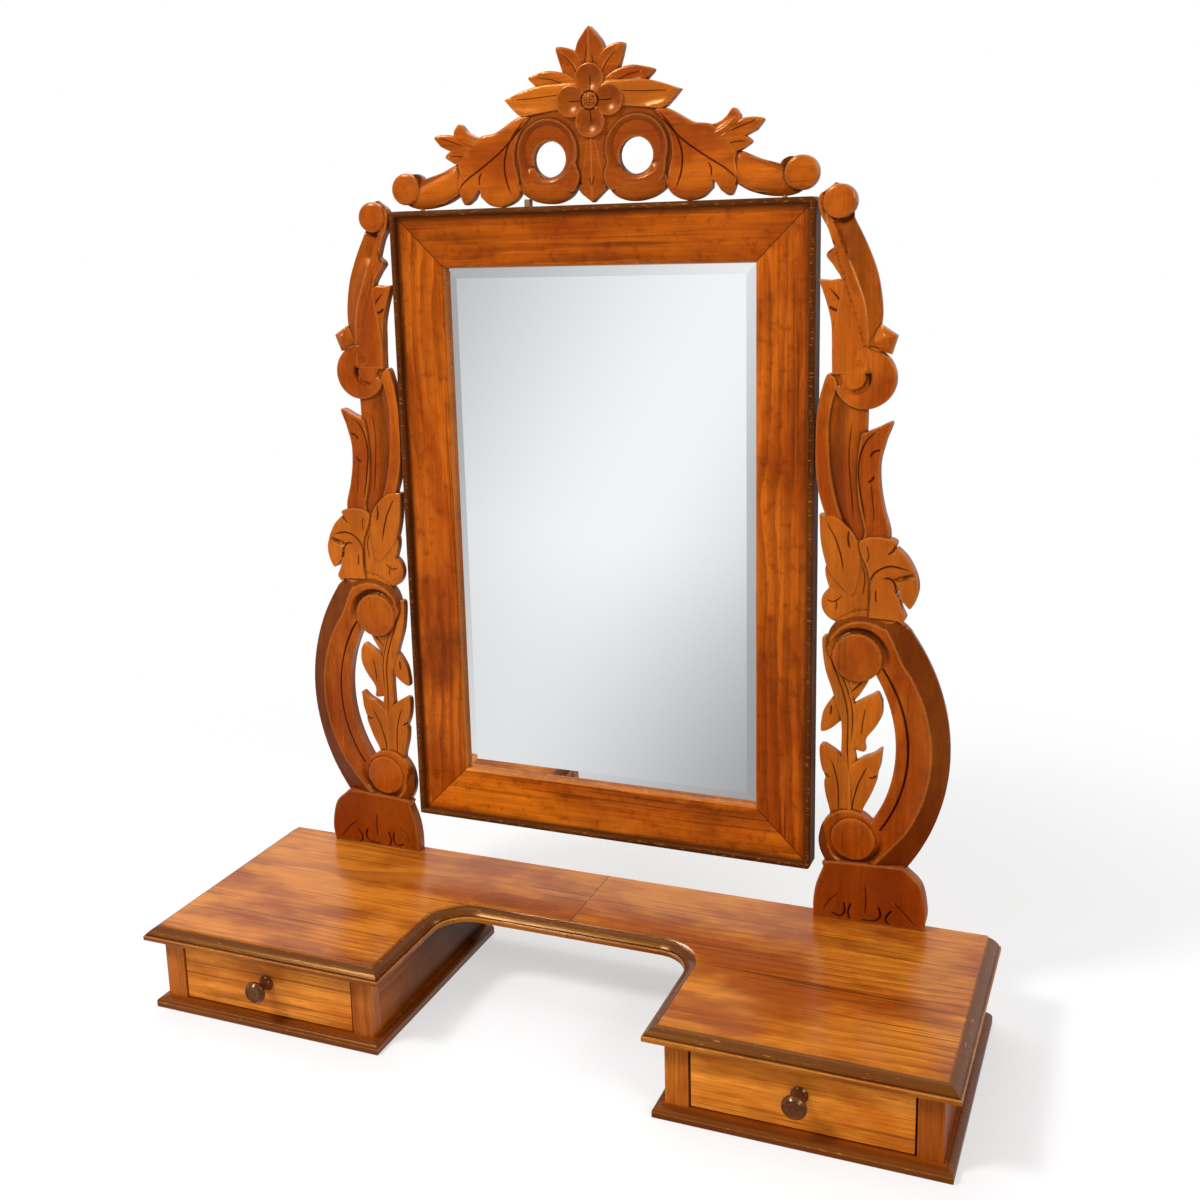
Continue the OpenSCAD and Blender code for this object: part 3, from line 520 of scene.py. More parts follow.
@dataclass(frozen=True)
class SilveredGlass:
    """Bevelled plate glass, silvered behind, a little dull at its rim."""

    name: str = "silvered_glass"
    tone: Colour = (0.86, 0.87, 0.885)
    dull: Colour = (0.36, 0.34, 0.32)
    gloss: float = 0.012

    def build(self) -> bpy.types.Material:
        """Returns the material."""
        s = Shader.of_material(self.name)
        x, _, z = s.split(s.place())
        rim = abs(x).rise(*GLASS_RIM_WIDE) + abs(z - GLASS_MIDDLE).rise(*GLASS_RIM_HIGH)
        spots = s.noise(s.place(), 420.0, 2.0).rise(0.72, 0.8)
        colour = s.mix(rim * 0.35 + spots * 0.03, self.tone, self.dull)
        dust = s.noise(s.place(), 12.0, 4.0, 0.6)
        return s.finish({"Base Color": colour, "Metallic": 1.0,
                         "Roughness": dust.rise(0.4, 0.9) * 0.02 + self.gloss})


@dataclass(frozen=True)
class Metal:
    """Plain drawn steel with a light rust bloom."""

    name: str = "drawn_steel"
    tone: Colour = (0.42, 0.41, 0.40)
    rust: Colour = (0.20, 0.09, 0.04)
    gloss: float = 0.25

    def build(self) -> bpy.types.Material:
        """Returns the material."""
        s = Shader.of_material(self.name)
        bloom = s.noise(s.place(), 900.0, 4.0, 0.7)
        return s.finish({"Base Color": s.mix(bloom.rise(0.5, 0.72), self.tone, self.rust),
                         "Metallic": bloom.fall(0.5, 0.8) * 0.9 + 0.05,
                         "Roughness": bloom * 0.3 + self.gloss})


@dataclass(frozen=True)
class Leather:
    """Cut washer leather."""

    name: str = "washer_leather"
    tone: Colour = (0.16, 0.08, 0.04)
    pale: Colour = (0.27, 0.15, 0.08)
    gloss: float = 0.6

    def build(self) -> bpy.types.Material:
        """Returns the material."""
        s = Shader.of_material(self.name)
        pits = s.noise(s.place(), 2200.0, 3.0, 0.6)
        return s.finish({"Base Color": s.mix(pits.rise(0.35, 0.7), self.tone, self.pale),
                         "Roughness": pits * 0.2 + self.gloss, "Normal": s.bump(pits, 0.4, 0.0002)})


Finish = Union[Wood, SilveredGlass, Metal, Leather]


# ---------------------------------------------------------------------------- flat geometry

def sweep(centre: Point, start: float, end: float, turn0: float, turn1: float, count: int) -> list:
    """Returns points on an arc or a spiral, with both ends.

    Args:
        centre: its middle.
        start: radius at the first point.
        end: radius at the last one.
        turn0: angle of the first point in degrees.
        turn1: angle of the last one.
        count: number of steps.

    Returns:
        The points.
    """
    points = []
    for i in range(count + 1):
        part = i / count
        turn = math.radians(turn0 + (turn1 - turn0) * part)
        radius = start + (end - start) * part
        points.append((centre[0] + radius * math.cos(turn), centre[1] + radius * math.sin(turn)))
    return points


def curve(points: Sequence[Point], step: float = 1.2) -> Array:
    """Draws a smooth line through points, straight where there are only two.

    Args:
        points: the points.
        step: how far apart the line's own points lie.

    Returns:
        The line's points.
    """
    p = np.asarray(points, float)
    if len(p) == 2:
        count = max(int(np.linalg.norm(p[1] - p[0]) / step), 1)
        return p[0] + (p[1] - p[0]) * np.linspace(0, 1, count + 1)[:, None]
    q = np.vstack([2 * p[0] - p[1], p, 2 * p[-1] - p[-2]])
    out = []
    for i in range(1, len(q) - 2):
        count = max(int(np.linalg.norm(q[i + 1] - q[i]) / step), 1)
        for t in np.arange(count) / count:
            out.append(0.5 * (2 * q[i] + (q[i + 1] - q[i - 1]) * t
                              + (2 * q[i - 1] - 5 * q[i] + 4 * q[i + 1] - q[i + 2]) * t * t
                              + (3 * q[i] - q[i - 1] - 3 * q[i + 1] + q[i + 2]) * t ** 3))
    out.append(q[-2])
    return np.array(out)


def apart(points: Array, least: float) -> Array:
    """Returns the points of a closed line that don't lie on the one before."""
    return points[np.linalg.norm(points - np.roll(points, 1, axis=0), axis=1) > least]


def loop(*runs: Sequence[Point]) -> Array:
    """Draws a closed outline made of smooth runs that meet in corners.

    Args:
        runs: the points of each run, which goes on to the first point of the next.

    Returns:
        The outline.
    """
    following = runs[1:] + runs[:1]
    ways = [curve(list(run) + [after[0]], 1.5)[:-1] for run, after in zip(runs, following)]
    return apart(np.vstack(ways), 0.05)


def disc(centre: Point, radius: float, count: int = 56) -> Array:
    """Returns a round outline."""
    return np.array(sweep(centre, radius, radius, 0, 360, count)[:-1])


def measure(points: Array, line: Array) -> tuple[Array, Array, Array]:
    """Measures points against a line.

    Args:
        points: the points.
        line: the line's own points.

    Returns:
        The distance to the line, the side (1 to the left of its way, -1 to the right) and how
        far along the line the nearest place lies, from 0 to 1.
    """
    start, way = line[:-1], np.diff(line, axis=0)
    length = np.maximum(np.linalg.norm(way, axis=1), 1e-9)
    away = points[:, None, :] - start[None]
    t = np.clip((away * way).sum(2) / length ** 2, 0, 1)
    gap = np.linalg.norm(away - t[..., None] * way, axis=2)
    k = gap.argmin(1)
    rows = np.arange(len(points))
    cross = way[k, 0] * away[rows, k, 1] - way[k, 1] * away[rows, k, 0]
    before = np.concatenate([[0], np.cumsum(length)[:-1]])
    along = (before[k] + t[rows, k] * length[k]) / length.sum()
    return gap[rows, k], np.where(cross >= 0, 1.0, -1.0), along


def edge_gap(points: Array, outline: Array) -> Array:
    """Returns the distance of points from a closed outline."""
    return measure(points, np.vstack([outline, outline[:1]]))[0]


def inside(points: Array, outline: Array) -> Array:
    """Tells which points lie in a closed outline.

    Args:
        points: the points.
        outline: the outline's own points.

    Returns:
        True for each point inside.
    """
    a, b = outline, np.roll(outline, -1, axis=0)
    x, y = points[:, 0, None], points[:, 1, None]
    crosses = (a[:, 1] > y) != (b[:, 1] > y)
    with np.errstate(divide="ignore", invalid="ignore"):
        at = (b[:, 0] - a[:, 0]) * (y - a[:, 1]) / (b[:, 1] - a[:, 1]) + a[:, 0]
    return ((crosses & (x < at)).sum(1) % 2) == 1


# ---------------------------------------------------------------------------- carving cuts

# In millimetres, apart from the grime and painted shade, the stain, the row gap and the angle.
# Grime and painted shade under CLEAN still let the edge show its wear and painted highlight.
ROW_GAP = 0.87
LEAST_HIGH = 2.0
SHADOW_NEAR, SHADOW_FAR = 2.6, 9.0
SHADOW_NEAR_GRIME, SHADOW_FAR_GRIME = 0.6, 0.32
SHADOW_DROP = 3.0
SHADOW_BELOW = 2.5
BACK_STAIN, BACK_GRIME_AND_SHADE = 0.15, 0.35
BACK_STEP = 0.04
RIM_WEAR_AND_HIGHLIGHT = 1.4
CREASE_WEAR_AND_HIGHLIGHT = 1.3
CLEAN = 0.25
SHARP = math.radians(24)

# How far a mesh's points keep off a leaf's edge: lines and rims in radii of its rim, the grid in
# steps of the mesh. LINE_CELL and RIM_CELL are cells in millimetres that hold one point each.
LINE_CLEAR, RIM_CLEAR, GRID_CLEAR = 1.15, 0.27, 0.45
RIM_ROWS = (0.3, 1.0)
GRID_APART = 0.5
LINE_CELL, RIM_CELL = 0.45, 0.2


class Cut:
    """What a carver's tool takes off a face."""

    def guides(self) -> list[Array]:
        """Returns the lines that the mesh follows."""
        return []

    def take(self, points: Array) -> tuple[Array, Array]:
        """Returns the depth of the cut at each point and how much grime and painted shade lie there."""
        raise NotImplementedError

    def wear_and_highlight(self, points: Array) -> Array:
        """Returns how far the cut's own edge is rubbed pale and carries a painted highlight at each point."""
        return np.zeros(len(points))


@dataclass
class Vein(Cut):
    """A groove of the parting tool, which tapers to a point at both ends."""

    points: Sequence[Point]
    wide: float = 1.6
    deep: float = 1.3
    blunt: bool = False
    line: Array = field(init=False)

    def __post_init__(self) -> None:
        """Works out the line."""
        self.line = curve(self.points, 1.2)

    def guides(self) -> list[Array]:
        """Returns the groove's bottom and its two edges."""
        way = np.gradient(self.line, axis=0)
        way /= np.linalg.norm(way, axis=1)[:, None]
        side = np.column_stack([way[:, 1], -way[:, 0]]) * self.wide / 2
        return [self.line, self.line + side, self.line - side]

    def take(self, points: Array) -> tuple[Array, Array]:
        """Returns depth, and grime with painted shade."""
        gap, _, along = measure(points, self.line)
        taper = 1.0 if self.blunt else np.clip(np.minimum(along, 1 - along) * 5 + 0.25, 0, 1)
        part = np.clip(1 - gap / (self.wide / 2 * np.maximum(taper, 0.3)), 0, 1)
        near = np.clip(1 - gap / (self.wide * 1.1), 0, 1)
        return self.deep * part * taper, np.maximum(part, 0.45 * near) * taper


@dataclass
class Trough(Cut):
    """A rounded hollow along a line."""

    points: Sequence[Point]
    wide: float
    deep: float
    grime_and_shade: float = 0.35
    taper: bool = True
    line: Array = field(init=False)

    def __post_init__(self) -> None:
        """Works out the line."""
        self.line = curve(self.points, 1.5)

    def take(self, points: Array) -> tuple[Array, Array]:
        """Returns depth, and grime with painted shade."""
        gap, _, along = measure(points, self.line)
        ends = np.sin(np.pi * np.clip(along, 0.02, 0.98)) ** 0.6 if self.taper else 1.0
        part = np.clip(1 - (gap / (self.wide / 2)) ** 2, 0, 1)
        return self.deep * part * ends, self.grime_and_shade * part * ends


@dataclass
class Fall(Cut):
    """A face that falls away from a line, on one side of it."""

    points: Sequence[Point]
    side: int
    reach: float
    deep: float
    power: float = 1.0
    grime_and_shade: float = 0.0
    sheer: float = 0.0
    line: Array = field(init=False)

    def __post_init__(self) -> None:
        """Works out the line."""
        self.line = curve(self.points, 1.2)

    def guides(self) -> list[Array]:
        """Returns the line itself."""
        return [self.line]

    def take(self, points: Array) -> tuple[Array, Array]:
        """Returns depth, and grime with painted shade."""
        gap, side, _ = measure(points, self.line)
        on = side == self.side
        t = np.clip(gap / self.reach, 0, 1)
        step = self.sheer * np.clip(gap / 0.5, 0, 1)
        # The grime on the falling side also paints shade on a face that turns away.
        return np.where(on, self.deep * t ** self.power + step, 0), np.where(on, self.grime_and_shade, 0)

    def wear_and_highlight(self, points: Array) -> Array:
        """Returns how far the crease is rubbed pale and carries a painted highlight at each point."""
        return np.clip(1 - measure(points, self.line)[0] / CREASE_WEAR_AND_HIGHLIGHT, 0, 1)


@dataclass
class Dish(Cut):
    """A round hollow, deepest at its middle."""

    centre: Point
    radius: float
    deep: float
    grime_and_shade: float = 0.3
    power: float = 2.0

    def guides(self) -> list[Array]:
        """Returns the rim."""
        return [disc(self.centre, self.radius, 72)]

    def take(self, points: Array) -> tuple[Array, Array]:
        """Returns depth, and grime with painted shade."""
        gap = np.linalg.norm(points - np.asarray(self.centre), axis=1) / self.radius
        part = np.clip(1 - gap ** self.power, 0, 1)
        # The grime also paints shade, deepest towards the middle of the hollow.
        return self.deep * part, self.grime_and_shade * part ** 0.7


@dataclass
class Crown(Cut):
    """A face that is highest inside and falls towards its own edge."""

    reach: float
    deep: float
    power: float = 2.0
    outline: Array | None = None

    def take(self, points: Array) -> tuple[Array, Array]:
        """Returns depth, and grime with painted shade."""
        gap = edge_gap(points, self.outline)
        part = np.clip(1 - gap / self.reach, 0, 1) ** self.power
        return self.deep * part, np.zeros(len(points))


@dataclass
class Ramp(Cut):
    """A face that sinks evenly from one point towards another."""

    top: Point
    low: Point
    deep: float
    grime_and_shade: float = 0.0

    def take(self, points: Array) -> tuple[Array, Array]:
        """Returns depth, and grime with painted shade."""
        way = np.asarray(self.low, float) - self.top
        t = np.clip(((points - self.top) @ way) / (way @ way), 0, 1)
        return self.deep * t, self.grime_and_shade * t


@dataclass
class Pyramid(Cut):
    """Four facets that fall from a peak, as on a square nail head."""

    peak: Point
    reach: float
    deep: float
    turn: float = math.radians(-27)

    def guides(self) -> list[Array]:
        """Returns the peak."""
        return [np.array([self.peak])]

    def take(self, points: Array) -> tuple[Array, Array]:
        """Returns depth, and grime with painted shade."""
        away = points - np.asarray(self.peak)
        across = np.abs(away[:, 0] * math.cos(self.turn) + away[:, 1] * math.sin(self.turn))
        up = np.abs(-away[:, 0] * math.sin(self.turn) + away[:, 1] * math.cos(self.turn))
        return self.deep * np.clip(np.maximum(across, up) / self.reach, 0, 1), np.zeros(len(points))


@dataclass
class Leaf:
    """One carved part, in millimetres.

    Attributes:
        outline: its outline.
        high: the height of its face over the back.
        cuts: what is carved out of the face.
        rim: the radius that its upper edge is rounded with.
        holes: the outlines of the openings through it.
        stain: over 0 darker and redder, under 0 paler.
    """

    outline: Array
    high: float
    cuts: list[Cut] = field(default_factory=list)
    rim: float = 0.9
    holes: list[Array] = field(default_factory=list)
    stain: float = 0.0

    def loops(self) -> list[Array]:
        """Returns the outline and the holes."""
        return [self.outline] + self.holes

    def face(self, points: Array) -> tuple[Array, Array]:
        """Returns the height, and the grime with painted shade, of points on the face, without the rim."""
        high = np.full(len(points), float(self.high))
        grime_and_shade = np.zeros(len(points))
        for cut in self.cuts:
            deep, dirt_and_shade = cut.take(points)
            high -= deep
            grime_and_shade = np.maximum(grime_and_shade, dirt_and_shade)
        return np.maximum(high, LEAST_HIGH), grime_and_shade


def stained(stain: float, *leaves: Leaf) -> list[Leaf]:
    """Returns leaves with the same stain."""
    for leaf in leaves:
        leaf.stain = stain
    return list(leaves)


class Carver:
    """Turns leaves into one mesh, drawn flat with x to the right and y up."""

    def __init__(self, name: str, leaves: Sequence[Leaf], fine: float = 1.7) -> None:
        """Keeps the work.

        Args:
            name: the piece's name.
            leaves: its parts, each over or under the others by its height.
            fine: distance of the mesh's points in millimetres.
        """
        self.name = name
        self.leaves = list(leaves)
        self.fine = fine
        self.points: list[Array] = []
        self.faces: list[tuple] = []
        self.grime_and_shade: list[Array] = []
        self.ridge: list[Array] = []
        self.stain: list[Array] = []
        self.count = 0

    def seeds(self, leaf: Leaf) -> Array:
        """Returns the points inside a leaf that its mesh is drawn through."""
        low, top = leaf.outline.min(0), leaf.outline.max(0)
        rows = np.arange(low[1], top[1], self.fine * ROW_GAP)
        grid = np.array([(x + (self.fine / 2 if i % 2 else 0), y)
                         for i, y in enumerate(rows)
                         for x in np.arange(low[0], top[0], self.fine)]).reshape(-1, 2)
        loops = leaf.loops()
        rims = []
        for ring in loops:
            way = np.roll(ring, -1, axis=0) - np.roll(ring, 1, axis=0)
            way /= np.maximum(np.linalg.norm(way, axis=1), 1e-9)[:, None]
            side = np.column_stack([-way[:, 1], way[:, 0]])
            rims += [ring + side * sign * depth * leaf.rim for depth in RIM_ROWS for sign in (1, -1)]
        guides = [line for cut in leaf.cuts for line in cut.guides()]
        lines = np.vstack(guides) if guides else np.zeros((0, 2))
        lines = self.clear(lines, loops, leaf.rim * LINE_CLEAR)
        rims = self.clear(np.vstack(rims), loops, leaf.rim * RIM_CLEAR)
        grid = self.clear(grid, loops, leaf.rim + self.fine * GRID_CLEAR)
        grid = self.thin(grid, lines, self.fine * GRID_APART)
        return np.vstack([self.spread(lines, LINE_CELL), self.spread(rims, RIM_CELL), grid])

    @staticmethod
    def clear(points: Array, loops: list[Array], least: float) -> Array:
        """Returns the points that lie inside the outline and off its edges."""
        if not len(points):
            return points
        good = inside(points, loops[0])
        for ring in loops[1:]:
            good &= ~inside(points, ring)
        points = points[good]
        gap = np.min([edge_gap(points, ring) for ring in loops], axis=0) if len(points) else []
        return points[np.asarray(gap) >= least] if len(points) else points

    @staticmethod
    def thin(points: Array, others: Array, least: float) -> Array:
        """Returns the points that aren't close to the others."""
        if not len(others) or not len(points):
            return points
        keep = np.ones(len(points), bool)
        for part in np.array_split(np.arange(len(points)), max(len(points) // 500, 1)):
            gap = np.linalg.norm(points[part][:, None] - others[None], axis=2).min(1)
            keep[part] = gap > least
        return points[keep]

    @staticmethod
    def spread(points: Array, least: float) -> Array:
        """Returns one point from each small cell."""
        if not len(points):
            return points
        _, first = np.unique(np.round(points / least).astype(int), axis=0, return_index=True)
        return points[np.sort(first)]

    def carve(self) -> None:
        """Makes the mesh of every leaf."""
        for i, leaf in enumerate(self.leaves):
            for cut in leaf.cuts:
                if isinstance(cut, Crown) and cut.outline is None:
                    cut.outline = leaf.outline
            self.carve_leaf(leaf, BACK_STEP * i)

    def carve_leaf(self, leaf: Leaf, back: float) -> None:
        """Makes the mesh of one leaf: its face, its back and the walls between them.

        Args:
            leaf: the leaf.
            back: how far its back lies in front of the piece's back, so that no backs touch.
        """
        ring = np.vstack(leaf.loops())
        edges, outward = [], []
        for n, points in enumerate(leaf.loops()):
            first, count = len(edges), len(points)
            edges += [(first + k, first + (k + 1) % count) for k in range(count)]
            outward += [(self.turned(points) > 0) == (n == 0)] * count
        start = self.count
        flat, tris, face_of = self.triangles(np.vstack([ring, self.seeds(leaf)]), edges, leaf)
        self.add(*self.face_points(flat, leaf), leaf.stain)
        self.faces += [tuple(start + k for k in t) for t in tris]
        bottom = self.count
        # The back ring holds grime and painted shade, so the walls darken towards the back.
        self.add(np.column_stack([ring, np.full(len(ring), back)]),
                 np.full(len(ring), BACK_GRIME_AND_SHADE), np.zeros(len(ring)), BACK_STAIN)
        for (i, j), outer in zip(edges, outward):
            quad = (start + face_of[i], bottom + i, bottom + j, start + face_of[j])
            self.faces.append(quad if outer else quad[::-1])
        _, tris, back_of = self.triangles(ring, edges, leaf)
        to_ring = {new: old for old, new in back_of.items()}
        self.faces += [tuple(bottom + to_ring[k] for k in reversed(t))
                       for t in tris if all(k in to_ring for k in t)]

    def face_points(self, flat: Array, leaf: Leaf) -> tuple[Array, Array, Array]:
        """Works out the face of a leaf at points of the drawing.

        Args:
            flat: the points.
            leaf: the leaf.

        Returns:
            The points with their heights, the grime with painted shade, and the wear with a painted
            highlight.
        """
        high, grime_and_shade = leaf.face(flat)
        gap = np.min([edge_gap(flat, points) for points in leaf.loops()], axis=0)
        inward = np.clip(leaf.rim - gap, 0, leaf.rim)
        high = high - (leaf.rim - np.sqrt(np.maximum(leaf.rim ** 2 - inward ** 2, 0)))
        grime_and_shade = np.maximum(grime_and_shade, self.shadow(flat, high, leaf))
        # A pale line along each rounded rim, wear with a painted highlight, where grime and painted shade are
        # slight.
        ridge = np.clip(1 - np.abs(gap - leaf.rim * 0.5) / RIM_WEAR_AND_HIGHLIGHT, 0, 1) * (grime_and_shade < CLEAN)
        for cut in leaf.cuts:
            ridge = np.maximum(ridge, cut.wear_and_highlight(flat))
        return np.column_stack([flat, high]), grime_and_shade, ridge

    @staticmethod
    def triangles(points: Array, edges: list[tuple[int, int]],
                  leaf: Leaf) -> tuple[Array, list[tuple], dict[int, int]]:
        """Draws triangles between points that keep to a leaf's outline and holes.

        Args:
            points: the points, those of the outline and the holes first.
            edges: the lines of the outline and the holes, as pairs of points.
            leaf: the leaf.

        Returns:
            The drawn points, the triangles on the leaf, and where each of the given points went.
        """
        drawn, _, tris, origin, _, _ = delaunay_2d_cdt(
            [Vector(p) for p in points.tolist()], edges, [], 1, 1e-4)
        flat = np.array([(v.x, v.y) for v in drawn])
        middles = np.array([flat[list(t)].mean(0) for t in tris])
        keep = inside(middles, leaf.outline)
        for hole in leaf.holes:
            keep &= ~inside(middles, hole)
        went = {old: new for new, olds in enumerate(origin) for old in olds}
        return flat, [tuple(t) for t, k in zip(tris, keep) if k], went

    @staticmethod
    def turned(ring: Array) -> float:
        """Returns the signed area of an outline, positive when it runs anticlockwise."""
        nxt = np.roll(ring, -1, axis=0)
        return 0.5 * float((ring[:, 0] * nxt[:, 1] - nxt[:, 0] * ring[:, 1]).sum())

    def shadow(self, points: Array, high: Array, leaf: Leaf) -> Array:
        """Works out the grime and painted shadow that lie against the higher leaves beside a leaf.

        Args:
            points: points of the leaf's face.
            high: their heights.
            leaf: the leaf.

        Returns:
            The grime and painted shadow at each point.
        """
        dirt_and_shade = np.zeros(len(points))
        for other in self.leaves:
            if other is leaf or other.high <= leaf.high - SHADOW_BELOW:
                continue
            low, top = other.outline.min(0) - SHADOW_FAR, other.outline.max(0) + SHADOW_FAR
            box = ((points > low) & (points < top)).all(1)
            if not box.any():
                continue
            some = points[box]
            gap = edge_gap(some, other.outline)
            out = ~inside(some, other.outline)
            above = np.clip((other.high - high[box]) / SHADOW_DROP, 0, 1)
            near = SHADOW_NEAR_GRIME * np.clip(1 - gap / SHADOW_NEAR, 0, 1)
            near = near + SHADOW_FAR_GRIME * np.clip(1 - gap / SHADOW_FAR, 0, 1)
            dirt_and_shade[box] = np.maximum(dirt_and_shade[box], np.where(out, near, 0.0) * above)
        return dirt_and_shade

    def add(self, points: Array, grime_and_shade: Array, ridge: Array, stain: float) -> None:
        """Adds points.

        Args:
            points: their places.
            grime_and_shade: how much grime and painted shade each has.
            ridge: how far each is rubbed pale and carries a painted highlight.
            stain: the stain of them all.
        """
        self.points.append(points)
        self.grime_and_shade.append(grime_and_shade)
        self.ridge.append(ridge)
        self.stain.append(np.full(len(points), stain))
        self.count += len(points)

    def place(self, across: Vector, up: Vector, out: Vector, origin: Vector,
              flips: Sequence[bool] = (False,)) -> bpy.types.Object:
        """Puts the carving in its place.

        Args:
            across: the direction of the drawing's x.
            up: the direction of its y.
            out: the direction in which its face looks.
            origin: the place of the drawing's origin, on the back.
            flips: whether to draw each copy mirrored in x.

        Returns:
            The new object.
        """
        flat = np.vstack(self.points) * MM
        frame = np.array([across, up, out], float)
        all_points, all_faces = [], []
        for n, flip in enumerate(flips):
            drawn = flat * np.array([-1.0 if flip else 1.0, 1.0, 1.0])
            all_points.append(drawn @ frame + np.asarray(origin))
            base = n * len(flat)
            turned = flip != (float(np.linalg.det(frame)) < 0)
            all_faces += [tuple(base + k for k in (f[::-1] if turned else f)) for f in self.faces]
        mesh = bpy.data.meshes.new(self.name)
        mesh.from_pydata(np.vstack(all_points).tolist(), [], all_faces)
        for name, values in (("grime_and_shade", self.grime_and_shade), ("ridge", self.ridge), ("stain", self.stain)):
            layer = mesh.attributes.new(name, "FLOAT", "POINT")
            painted = np.tile(np.concatenate(values), len(flips))
            layer.data.foreach_set("value", painted.astype(np.float32))
        mesh.polygons.foreach_set("use_smooth", [True] * len(mesh.polygons))
        mesh.set_sharp_from_angle(angle=SHARP)
        mesh.validate()
        made = bpy.data.objects.new(self.name, mesh)
        bpy.context.scene.collection.objects.link(made)
        return made


# ---------------------------------------------------------------------------- sub-assemblies

FOOT_UP = 100.0


def from_middle(dx: float) -> Callable[..., list[Point]]:
    """Returns a function that takes points from the mirror's middle and the floor to a support.

    Args:
        dx: how far from the middle the support's own drawing begins.

    Returns:
        The function.
    """
    def moved(*points: Point) -> list[Point]:
        """Returns the points in the support's own drawing."""
        return [(x - dx, y - FOOT_UP) for x, y in points]

    return moved


def keep_in_box(made: bpy.types.Object, low: Vector, top: Vector) -> None:
    """Trims points that stand outside a piece's own room, by a hair or so."""
    for vertex in made.data.vertices:
        vertex.co = Vector(min(max(vertex.co[i], low[i]), top[i]) for i in range(3))


